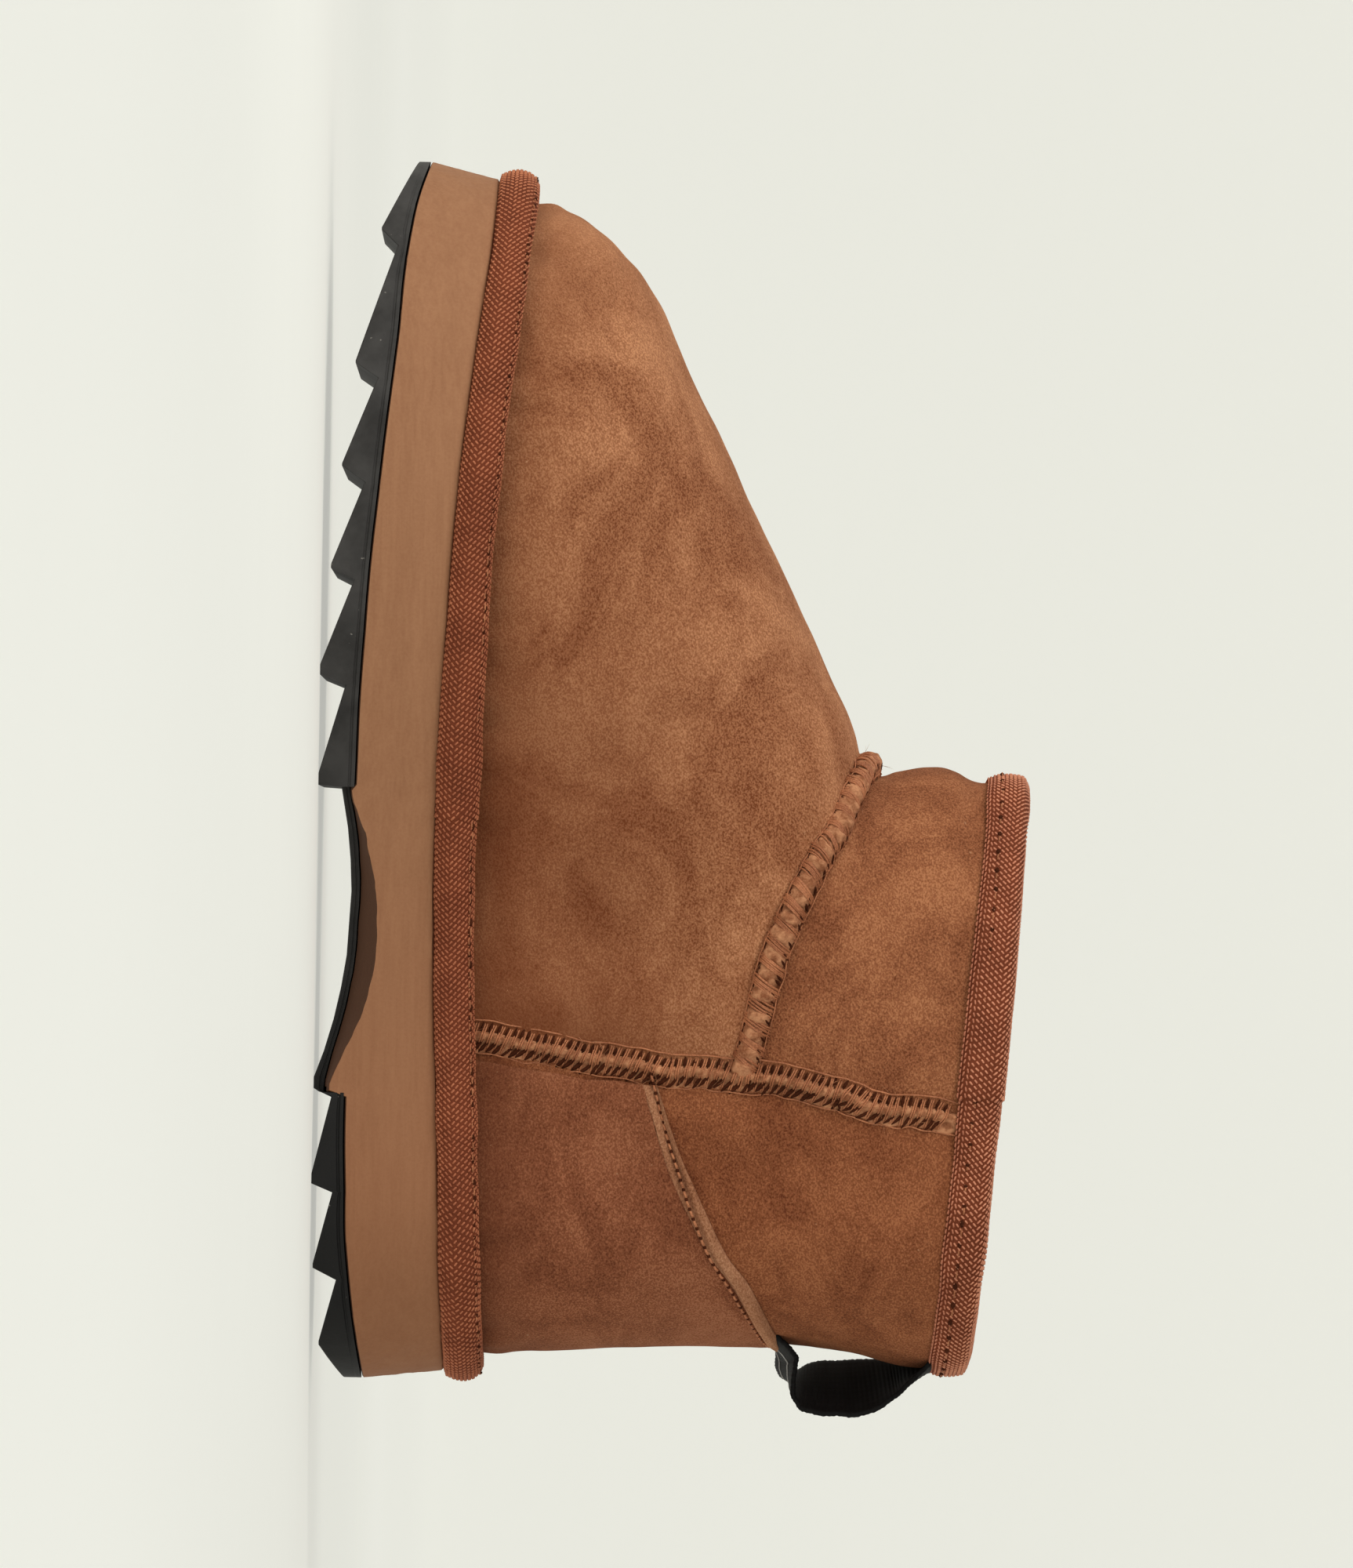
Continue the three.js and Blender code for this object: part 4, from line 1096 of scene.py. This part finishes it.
def tape(name, place, level, corners, joint_ring, replaces, floats, step, weave):
    """Smooth ring of tape with its floats. step: extra thickness at the joint. weave: first and last
    run round the section, run where the ribs turn, width of the selvedge, and pitch along and
    across, all in mm."""
    start, end, turn_at, selvedge, pitch, row_pitch = weave
    ring, total = even_ring(level, 1.3, joint_ring)
    ring = np.insert(ring, 1, ring[0] + (ring[1] - ring[0]) * 0.2)
    run = np.insert(np.arange(len(ring) - 1) / (len(ring) - 1) * total, 1, 0.26)
    section_points = rounded(corners, ROUND_TAPE)
    middle = section_points.mean(0)
    swell = 1 + step * lap(run, total)[:, None]
    puff = 0.02 * ripple(last(level, ring), 16, len(name))[:, None]
    out = middle[0] + (section_points[None, :, 0] - middle[0]) * (swell + puff)
    up = middle[1] + (section_points[None, :, 1] - middle[1]) * (swell + puff)
    where = np.broadcast_to(ring[:, None], out.shape)
    faces = grid_faces(len(ring), ROUND_TAPE, wrap_rows=True, wrap_columns=True)
    # The tape's body has the dark ground finish: painted shade between the floats.
    add_piece(name, place(where, out, up).reshape(-1, 3), faces, TAPE_GROUND_SHADED, replaces)

    looped = np.r_[section_points, section_points[:1]]
    section_length = np.linalg.norm(np.diff(looped, axis=0), axis=1).sum()
    columns = int(round(total / pitch))
    slip = 1 / math.tan(RIB_LEAN) / pitch
    rows = int((end - start) / row_pitch)
    places = np.meshgrid(np.arange(rows), np.arange(columns), indexing="ij")
    row, column = (grid.ravel() for grid in places)
    section_run = start + (row + 0.5) * row_pitch
    plain = section_run < start + selvedge
    side = np.where(plain, np.where(row % 2, 1.0, -1.0), np.where(section_run < turn_at, -1.0, 1.0))
    shift = np.where(plain, 0.5 * (row % 2), slip * side * (section_run - turn_at))
    at_run = ((column + shift) * pitch) % total
    where = np.interp(at_run, np.r_[run, total], np.r_[ring, ring[0] + 2]) % 2
    swell = 1 + step * lap(at_run, total) + 0.02 * ripple(last(level, where), 16, len(name))
    share = section_run / section_length * ROUND_TAPE

    def on_tape(share, ring):
        place_in_loop = share % ROUND_TAPE
        o, u = (np.interp(place_in_loop, np.arange(ROUND_TAPE + 1), looped[:, j]) for j in (0, 1))
        return place(ring, middle[0] + (o - middle[0]) * swell, middle[1] + (u - middle[1]) * swell)

    centre = on_tape(share, where)
    round_it = unit(on_tape(share, where + 0.002) - on_tape(share, where - 0.002))
    over = unit(on_tape(share + 0.3, where) - on_tape(share - 0.3, where))
    normal = unit(np.cross(round_it, over))
    inside = place(where, np.full(len(where), middle[0]), np.full(len(where), middle[1]))
    normal *= np.sign(((centre - inside) * normal).sum(-1, keepdims=True))
    rng = np.random.default_rng(len(name))
    lean = side * np.where(plain, 0.3, RIB_LEAN) + rng.normal(0, 0.05, len(row))
    forward = round_it * np.cos(lean)[:, None] + over * np.sin(lean)[:, None]
    size = rng.uniform(0.92, 1.08, len(row))
    for kind, those, material in (("_twill", ~plain, floats), ("_selvedge", plain, SELVEDGE)):
        if those.any():
            long, wide, high = (size[those] * k for k in (0.74, 0.37, 0.26))
            points, faces = pillows(centre[those], forward[those], normal[those], long, wide, high)
            add_piece(name + kind, points, faces, material)
    return total


def edge_stitches(place, level, out, up, spacing, seed):
    """Short threads and dark needle holes, painted shade, in a row along a tape."""
    ring, total = even_ring(level, spacing)
    ring = ring[:, None] + np.linspace(-0.5, 0.5, 5)[None] * (1.1 / total * 2)
    lift = 0.3 * np.cos(np.linspace(-1.4, 1.4, 5))[None]
    rng = np.random.default_rng(seed)
    up = np.broadcast_to(up + rng.normal(0, 0.12, (len(ring), 1)), ring.shape)
    outward = last_normal(level, ring)
    path = place(ring, np.broadcast_to(out - 0.1 + lift, ring.shape), up)
    hole = place(ring + 1.3 / total * 2, np.full(ring.shape, out - 0.05), up)
    hole_radius = np.array([[0.14, 0.44, 0.52, 0.44, 0.14]])
    return tubes(path, 0.2, outward, 5), tubes(hole, hole_radius, outward, 5, 0.7)


welt_joint = on_last([124.0], [40.0], 1)[0, 1]
collar_joint = on_last([64.4], [150.0], 1)[0, 1]
WELT_WEAVE = (4.7, 18.4, 9.0, 0.0, 1.4, 0.92)
COLLAR_WEAVE = (0.5, 19.6, 7.4, 2.6, 1.35, 0.9)
total = tape("welt_tape", bead_point, 0.0, BEAD, welt_joint, ["welt_binding"], TAPE_FLOAT, 0.1,
             WELT_WEAVE)
print("welt tape runs", round(total), "mm")
total = tape("collar_tape", hem_point, RIM, HEM, collar_joint, ["collar_binding"], COLLAR_FLOAT, 0.13,
             COLLAR_WEAVE)
print("collar tape runs", round(total), "mm")
rows = [edge_stitches(bead_point, 0.0, 5.3, 8.0, 2.4, 97),
        edge_stitches(hem_point, RIM, 1.95, -4.3, 4.6, 98)]
add_joined("tape_threads", [threads for threads, holes in rows], THREAD)
add_joined("tape_needle_hole_shadows", [holes for threads, holes in rows], NEEDLE_SHADE)

# %% [markdown]
# ## Fleece lining
# Sheepskin is leather and wool in one, so the lining is the wool of the panels themselves. Real
# wool is millions of fibres. Here a thick body with soft lumps gives the mass and its shadows, and
# thousands of short bent locks give the edge and the grain. Locks near the collar are the ones
# seen, so most of them are there.

# %% Fleece body
WALL, RIM_WALL, BED = 11.0, 5.0, 7.0


def wall_at(level):
    return WALL + (RIM_WALL - WALL) * step_up(level, RIM - 4, RIM - 1)


def fleece_depth(level, ring):
    """Distance of the wool's face from the last, inwards."""
    spot = last(level, ring)
    lumps = 0.9 * ripple(spot, 19, 200) + 0.5 * ripple(spot, 8, 201) + 0.25 * ripple(spot, 3.6, 202)
    return wall_at(level) - 0.6 + lumps * step_up(RIM - level, 0.2, 2)


level, ring = np.meshgrid(np.linspace(0.25, RIM - 0.1, 92), places_round(230, 0.0), indexing="ij")
inside = off_last(level, ring, -fleece_depth(level, ring))
outside = off_last(level[::6], ring[::6], np.full(level[::6].shape, -LEATHER - 1.6))
rows = np.concatenate([inside, outside[::-1]])
faces = grid_faces(rows.shape[0], rows.shape[1], wrap_rows=True, wrap_columns=True)
add_piece("fleece_lining", rows.reshape(-1, 3), faces, FLEECE)

# %% [markdown]
# A lock is a tapered tube with three sides: enough at a millimetre thick. It starts in the wool,
# leans with its neighbours, and bends down a little under its own weight.

# %% Wool locks
def locks(root, out, length, lean, thick, seed):
    """Tapered bent tubes from points, along `out`, each leaning by its own vector."""
    rng = np.random.default_rng(seed)
    t = np.array([0.0, 0.4, 0.75, 1.0])[None, :, None]
    curl = unit(rng.normal(size=root.shape)) * 0.55
    heading = unit(out + lean + unit(rng.normal(size=root.shape)) * 0.45)
    path = root[:, None] + (heading[:, None] * t + curl[:, None] * t**2) * length[:, None, None]
    radius = thick[:, None] * np.array([1.0, 0.85, 0.5, 0.12])[None]
    up = unit(np.cross(heading, rng.normal(size=root.shape)))
    return tubes(path, radius, up, 3)


def wall_locks(count, low, high, seed):
    rng = np.random.default_rng(seed)
    level, ring = rng.uniform(low, high, count), rng.uniform(0, 2, count)
    depth = fleece_depth(level, ring)
    root = off_last(level, ring, -depth + 0.9)
    spot = last(level, ring)
    drift = np.stack([ripple(spot, 22, seed + k) for k in (1, 2, 3)], -1) * 0.22
    lean = drift - [0, 0, 0.35]
    return locks(root, -last_normal(level, ring), rng.uniform(2.6, 4.6, count), lean,
                 rng.uniform(0.34, 0.62, count), seed)


SEEN_FROM = 9.5  # level above which the lining shows through the mouth
points, faces = wall_locks(6000, SEEN_FROM, RIM - 0.95, 210)
add_piece("fleece_locks_collar", points, faces, FLEECE)

# %% [markdown]
# The needle pulls a little wool out through the leather, and brushing leaves some on the raw edges.
# These are single hairs, so they are the same tapered tubes, only much thinner and lying flatter.

# %% Loose wool on the seams
rng = np.random.default_rng(250)
hairs = []
for number, (seam, reach) in enumerate(((SIDE[1], 4.2), (SIDE[-1], 4.2), (INSTEP, 3.2))):
    count = int(seam.length * 0.8)
    run = rng.uniform(1, seam.length - 2, count)
    root = seam.at(run, rng.uniform(-reach, reach, count), 0.3)
    out = seam.outward(run)
    aside = rng.normal(size=root.shape)
    aside = unit(aside - out * (aside * out).sum(-1, keepdims=True)) * rng.uniform(0.6, 3.0, (count, 1))
    thick = rng.uniform(0.04, 0.075, count)
    hairs.append(locks(root, out, rng.uniform(1.4, 3.6, count), aside, thick, 251 + number))
add_joined("seam_wool", hairs, RAW_EDGE)

# %% [markdown]
# ## Footbed
# The footbed is a separate fleece insole, laid in last. It is a crowned pad that follows the
# foam's curve and fills the foot from wall to wall.

# %% Footbed and lower wool
BED_ROWS, BED_COLUMNS = 100, 50
turns = 0.5 - 0.5 * np.cos(np.linspace(0.04, math.pi - 0.04, BED_ROWS))
share, turn = np.meshgrid(np.linspace(-1, 1, BED_COLUMNS), turns)
inner, outer = (off_last(0.0, s * turn, np.full(turn.shape, -WALL - 0.4)) for s in (1, -1))
plan = outer + (inner - outer) * (0.5 + share[..., None] / 2)
crown = BED * (1 - 0.35 * share**6)
lumps = 0.5 * ripple(plan, 14, 220) + 0.35 * ripple(plan, 5, 221)
top, bottom = plan.copy(), plan.copy()
top[..., 2] = foam_top(plan[..., 1]) + 0.5 + crown + lumps
bottom[..., 2] = foam_top(plan[..., 1]) + 0.5
points, faces = shell(top, bottom)
add_piece("fleece_footbed", points, faces, FLEECE, ["insole"])

rng = np.random.default_rng(230)
BED_LOCKS = 1400
row = rng.integers(2, BED_ROWS - 2, BED_LOCKS)
column = rng.integers(2, BED_COLUMNS - 2, BED_LOCKS)
root = top[row, column] + rng.normal(0, 0.6, (BED_LOCKS, 3)) * [1, 1, 0] - [0, 0, 0.6]
bed = locks(root, np.broadcast_to([0.0, 0.0, 1.0], root.shape), rng.uniform(2, 3.6, BED_LOCKS),
            np.zeros(3), rng.uniform(0.3, 0.55, BED_LOCKS), 231)
add_joined("fleece_locks_foot", [bed, wall_locks(2000, 0.8, SEEN_FROM, 240)], FLEECE)

# %% [markdown]
# ## Foam midsole
# The foam is one thick slab milled to shape: a straight side that leans out towards the ground,
# and a scoop under the arch on the inner side. The cutter tears the foam a little at the front of
# the scoop, so that the edge is slightly ragged there. It is a stack of rings: under side, bottom
# edge, side, top edge.

# %% Midsole
LEDGE_OUT, FLARE_HEEL, FLARE_TOE, STRIP = 4.7, 6.7, 8.4, 1.8
STRIP_IN, STRIP_OUT = 7.0, 4.0  # how far the rubber strip is drawn in, inner and outer side
ARCH = np.array([  # along, under side of the rubber strip, lower edge of the foam on the inner side
    [66.2, 0.4, 3.3], [73, 2.1, 6.3], [80, 4.1, 9.6], [87, 5.6, 11.7], [94, 6.7, 12.9],
    [101, 7.1, 13.1], [108, 7.5, 12.6], [115, 7.2, 11.3], [122, 6.5, 9.6], [129.4, 5.0, 6.6],
])
ARCH_FRONT, ARCH_BACK = 130.8, 64.0


def sole_outline(ring, out):
    point = last(0.0, ring)
    if callable(out):
        out = out((point[..., 1] - LAST[0, 3]) / (LAST[0, 1] - LAST[0, 3]))
    return point + last_normal(0.0, ring) * np.broadcast_to(out, ring.shape)[..., None]


def flare(share):
    return FLARE_HEEL + (FLARE_TOE - FLARE_HEEL) * share**2


def foam_under(along, scoop):
    """Under side of the foam; scoop is 0 over the rubber strip and 1 at the inner edge."""
    plain = foam_joint(along) + GAP / 2
    over = through(ARCH[:, 0], ARCH[:, 1], along) + STRIP + GAP
    edge = np.maximum(over, through(ARCH[:, 0], ARCH[:, 2], along))
    return np.where((along > ARCH_BACK) & (along < ARCH_FRONT), over + (edge - over) * scoop, plain)


ring = places_round(680)
foot, ledge = sole_outline(ring, flare), sole_outline(ring, LEDGE_OUT)
ledge[:, 2] = foam_top(ledge[:, 1])
in_arch = step_up(foot[:, 1], 66, 72) * (1 - step_up(foot[:, 1], 122, 129))
foot[:, 2] = foam_under(foot[:, 1], np.where(ring < 1, 1.0, 0.45))
torn = np.abs(ripple(foot, 2.0, 301)) * step_up(foot[:, 1], 98, 112)
ragged = 0.06 * ripple(foot, 4.2, 300) + 0.14 * torn
foot[:, 2] += ragged * in_arch * np.where(ring < 1, 1.0, 0.3)
strip = sole_outline(ring, lambda share: flare(share) - np.where(ring < 1, STRIP_IN, STRIP_OUT))
strip[:, 2] = foam_under(strip[:, 1], 0.0)
halfway = strip + (foot - strip) * 0.5
halfway[:, 2] = foam_under(foot[:, 1], 0.0) * 0.5 + foot[:, 2] * 0.5
rings = [strip, halfway, foot - last_normal(0.0, ring) * 0.35, foot + (ledge - foot) * 0.015]
for t in np.linspace(0.05, 0.975, 14):
    row = foot + (ledge - foot) * t
    wave = 0.05 * ripple(row * [1, 0.25, 1], 5, 310) + 0.03 * ripple(row * [1, 0.1, 1], 1.6, 311)
    rings.append(row + last_normal(0.0, ring) * wave[:, None])
rings += [ledge - last_normal(0.0, ring) * 0.4, sole_outline(ring, -4.0)]
rings[-1][:, 2] = foam_top(rings[-1][:, 1])
points, faces = loft(np.array(rings))
add_piece("foam_midsole", points, faces, FOAM, ["midsole"], crease=50)

# %% [markdown]
# ## Rubber outsole
# Saw teeth run right across the rubber: steep at the back and long at the front, so that they
# bite when you push off. The arch is only a thin strip. It is lofted from cuts across the sole,
# with a cut exactly at each tip and root, and a fine lip under the glue line.

# %% Outsole
TEETH = np.array([  # tip, its height, flat of the tip, root behind it, its height
    [253.2, 11.5, 0.5, 249.4, 15.1], [223.4, 6.5, 0.5, 219.9, 11.4], [200.8, 4.0, 0.5, 197.0, 9.0],
    [178.7, 2.0, 0.8, 175.8, 7.1], [156.2, 0.0, 2.2, 152.9, 5.6], [132.4, 0.0, 2.6, 130.8, 5.0],
    [66.0, 0.0, 2.4, 63.0, 4.0], [45.2, 0.0, 2.2, 42.2, 4.6], [26.1, 0.6, 1.0, 23.0, 5.7],
    [8.8, 2.0, 0.8, 5.4, 4.0],
])
HEEL_EDGE, TOE_EDGE = 7.5, 19.3

fine = places_round(2400)
edge = sole_outline(fine, flare)
back, front = edge[:, 1].min(), edge[:, 1].max()
halves = {s: edge[(fine < 1) if s > 0 else (fine > 1)] for s in (1, -1)}
tread = [(back, HEEL_EDGE), (front, TOE_EDGE)]
for tip, tip_z, flat, root, root_z in TEETH:
    tread += [(root, root_z), (tip - flat / 2, tip_z), (tip + flat / 2, tip_z)]
tread += [(a, z) for a, z, _ in ARCH if 70 < a < 127]
tread = np.array(sorted(tread))
near_end = np.array([0.03, 0.25, 0.7, 1.4, 2.4, 3.8, 5.6, 7.8, 10.4, 13.4, 16.8, 20.6])
stations = np.unique(np.round(np.r_[np.arange(back + 22, front - 22, 2.5), back + near_end,
                                    front - near_end, tread[1:-1, 0], ARCH_BACK - 0.02,
                                    ARCH_BACK + 0.02, ARCH_FRONT - 0.02, ARCH_FRONT + 0.02], 3))
half = {}
for s, line in halves.items():
    line = line[np.argsort(line[:, 1])]
    half[s] = np.interp(stations, line[:, 1], line[:, 0])
strip = (stations > ARCH_BACK) & (stations < ARCH_FRONT)
inner, outer = half[1] - np.where(strip, STRIP_IN, 0), half[-1] + np.where(strip, STRIP_OUT, 0)
top = np.where(strip, through(ARCH[:, 0], ARCH[:, 1], stations) + STRIP, foam_joint(stations) - GAP / 2)
under = np.minimum(np.interp(stations, tread[:, 0], tread[:, 1]), top - 1)
tall = np.minimum(1.0, (top - under) / 3.2)
profile = [(0, 0), (0, 0.75), (0.3, 1.0), (0.3, 1.25), (0, 1.5)]  # in from the side, down from the top
cut = []
for side_x, sign in ((inner, -1), (outer, 1)):
    width = np.minimum(1.0, (inner - outer) / 6)
    wall = [(side_x + sign * i * width * tall, top - down * tall) for i, down in profile]
    wall += [(side_x, under + 0.3), (side_x + sign * 0.4 * width, under)]
    cut.append(wall)
cut = cut[0] + cut[1][::-1]
rings = np.array([[(x[k], stations[k], z[k]) for x, z in cut] for k in range(len(stations))])
points, faces = loft(rings)
add_piece("rubber_outsole", points, faces, RUBBER, ["outsole"], crease=22)

# %% [markdown]
# ## Pull loop
# The loop at the back is black webbing with fine ribs across it. It is sewn under the counter's
# edge, bulges out with a slight twist, and goes in under the collar tape. Its table gives both
# edges, so the twist is in the numbers. Two thin pale stripes run along its outer face, from the
# hidden lower end up over the lowest part that shows.

# %% Pull loop
LOOP = np.array([  # far edge, its height, near edge, its height, how far it is bent round the shaft
    [9.6, 102.6, 9.8, 102.2, 1.0], [5.8, 103.4, 6.8, 106.4, 0.6], [3.0, 103.6, 5.0, 107.1, 0.2],
    [1.9, 106.0, 1.0, 106.6, 0.0], [3.4, 108.6, -2.9, 107.4, 0.0], [5.0, 112.0, -5.0, 110.8, 0.0],
    [5.3, 116.6, -5.4, 116.6, 0.0], [5.7, 121.4, -5.1, 122.4, 0.0], [5.4, 127.0, -2.4, 128.2, 0.2],
    [4.9, 131.4, 0.2, 132.0, 0.6], [5.0, 137.5, 4.4, 137.0, 1.0],
])
LOOP_END = len(LOOP) - 1
TAPE_HALF, TAPE_THICK, BACK_RADIUS = 12.5, 1.3, 33.0


def loop_point(number, across):
    knots = np.arange(len(LOOP))
    far, far_z, near, near_z, snug = (through(knots, LOOP[:, k], number) for k in range(5))
    x = across * TAPE_HALF
    drop = BACK_RADIUS - np.sqrt(BACK_RADIUS**2 - x**2)
    toward = (across + 1) / 2
    return np.stack([x, far + (near - far) * toward + snug * drop, far_z + (near_z - far_z) * toward], -1)


def loop_face(number, across, out):
    ahead, behind = np.minimum(number + 0.05, LOOP_END), np.maximum(number - 0.05, 0)
    run = loop_point(ahead, across) - loop_point(behind, across)
    right, left = np.minimum(across + 0.05, 1), np.maximum(across - 0.05, -1)
    wide = loop_point(number, right) - loop_point(number, left)
    return loop_point(number, across) + unit(np.cross(run, wide)) * np.asarray(out)[..., None]


number, across = np.meshgrid(np.linspace(0, LOOP_END, 220), np.linspace(-1, 1, 30), indexing="ij")
rib = 0.05 * np.sin(number * 2 * math.pi * 5.5) + 0.03 * np.sin(across * 2 * math.pi * 9)
thick = TAPE_THICK / 2 * (1 - 0.35 * np.abs(across) ** 10)
wavy = across * (0.98 + 0.02 * np.abs(np.sin(number * math.pi * 3.2)))
points, faces = shell(loop_face(number, wavy, thick + rib), loop_face(number, wavy, -thick - rib))
add_piece("webbing_loop", points, faces, WEBBING, ["pull_loop"])

number = np.linspace(0.1, 5.0, 160)
middle, centre_line = np.array([6.0]), np.array([0.0])
away = -np.sign((loop_face(middle, centre_line, [1.0]) - loop_point(middle, centre_line))[0, 1])
stripes = []
for place in (-0.4, 0.4):
    across = np.full(number.shape, place)
    path = loop_face(number, across, np.full(number.shape, away * (TAPE_THICK / 2 + 0.08)))
    up = unit(path - loop_face(number, across, np.zeros(number.shape)))
    stripes.append(tubes(path[None], np.full((1, len(number)), 0.42), up[None], 6, 0.35))
add_joined("loop_stripes", stripes, PALE_STRIPE)

# %% [markdown]
# ## Studio
# The boot stands on a pale floor that turns up into a wall all round, like a shallow bowl, so no
# horizon shows from any side. The paper shines a little itself, more away from the boot, as if
# lamps were aimed at the backdrop: it keeps the wall as pale as the floor. The fill lamp is large
# and stands behind the camera, so that the edge of its light doesn't cross the floor in view.

# %% Floor and backdrop
NEAR_GLOW, FAR_GLOW = 0.58, 0.73  # how strongly the paper shines, near the boot and far off


def studio_bowl(radius=7.0, bend=2.6, height=6.0):
    """Floor and wall in one, in metres: flat in the middle, bent up, then straight."""
    angle = np.linspace(0, 2 * math.pi, 96, endpoint=False)
    arc = np.linspace(0, math.pi / 2, 14)
    rise = [(r, 0.0) for r in (0.5, 1.2, radius - bend)]
    rise += [(radius - bend + bend * math.sin(a), bend - bend * math.cos(a)) for a in arc[1:]]
    rise.append((radius, height))
    rings = np.array([[(r * math.cos(a), r * math.sin(a), z) for a in angle] for r, z in rise])
    mesh = bpy.data.meshes.new("studio_bowl")
    faces = grid_faces(len(rise), len(angle), wrap_columns=True).tolist()
    mesh.from_pydata(rings.reshape(-1, 3).tolist(), [], faces + [list(range(len(angle)))])
    mesh.polygons.foreach_set("use_smooth", np.ones(len(mesh.polygons), bool))
    bowl = in_scene("studio_bowl", mesh)
    paper = Finish("studio_paper", Roughness=0.9, Specular_IOR_Level=0.1,
                   Emission_Color=srgb(233, 233, 225))
    paper.colour(paper.mix(paper.noise(60, 2.0), srgb(176, 176, 170), srgb(178, 178, 172)))
    away = paper.add("ShaderNodeVectorMath", {"operation": "LENGTH"}, i0=paper.place).outputs["Value"]
    glow = paper.spread(away, 0.3, 1.7, NEAR_GLOW, FAR_GLOW)
    paper.tree.links.new(glow, paper.shader.inputs["Emission Strength"])
    mesh.materials.append(paper.material)


studio_bowl()


def soft_light(name, place, aim, size, power, tint=(1.0, 1.0, 1.0)):
    """A square soft box. place and aim are in shoe millimetres."""
    data = bpy.data.lights.new(name, "AREA")
    data.shape, data.size, data.energy, data.color = "SQUARE", size, power, tint
    lamp = in_scene(name, data)
    lamp.location = to_frame(place)
    direction = to_frame(aim) - to_frame(place)
    lamp.rotation_euler = Vector(direction).to_track_quat("-Z", "Y").to_euler()


soft_light("key_from_toe", (520, 900, 620), (0, 150, 60), 0.55, 5.0, (1.0, 0.985, 0.96))
soft_light("fill_from_side", (3420, 446, 1217), (0, 130, 60), 3.15, 16.6, (0.97, 0.985, 1.0))
soft_light("rim_from_above", (-500, 150, 1100), (0, 130, 100), 0.9, 2.0)
world = bpy.data.worlds.new("studio_world")
world.use_nodes = True
world.node_tree.nodes["Background"].inputs["Color"].default_value = (0.9, 0.92, 0.95, 1)
world.node_tree.nodes["Background"].inputs["Strength"].default_value = 0.05
bpy.context.scene.world = world
bpy.context.scene.view_settings.view_transform = "Standard"

# %% [markdown]
# ## Camera
# The camera looks at the inner side from about the height of the sole, a long lens far away, and
# is rolled a quarter turn: the toe points up in the picture and the sole is on the left.

# %% Camera
DISTANCE, VIEW_HEIGHT = 3000.0, 347.0
SENSOR = 36.0
ROLL = math.radians(1.04)  # on top of the quarter turn
eye = Vector(to_frame((DISTANCE, 112.0, 45.0)))
aim = Vector(to_frame((0.0, 133.0, 78.6)))
camera_data = bpy.data.cameras.new("camera")
camera_data.sensor_width = SENSOR
camera_data.lens = SENSOR * DISTANCE / VIEW_HEIGHT
camera = in_scene("camera", camera_data)
back = (eye - aim).normalized()
toe_up = Vector((0.0, -math.cos(ROLL), -math.sin(ROLL)))
right = toe_up.cross(back).normalized()
up = back.cross(right)
camera.matrix_world = Matrix((
    (right.x, up.x, back.x, eye.x), (right.y, up.y, back.y, eye.y),
    (right.z, up.z, back.z, eye.z), (0, 0, 0, 1)))
bpy.context.scene.camera = camera
print("lens", round(camera_data.lens, 1), "mm")
print("all pieces:", sum(count for name, count in PIECES), "triangles")
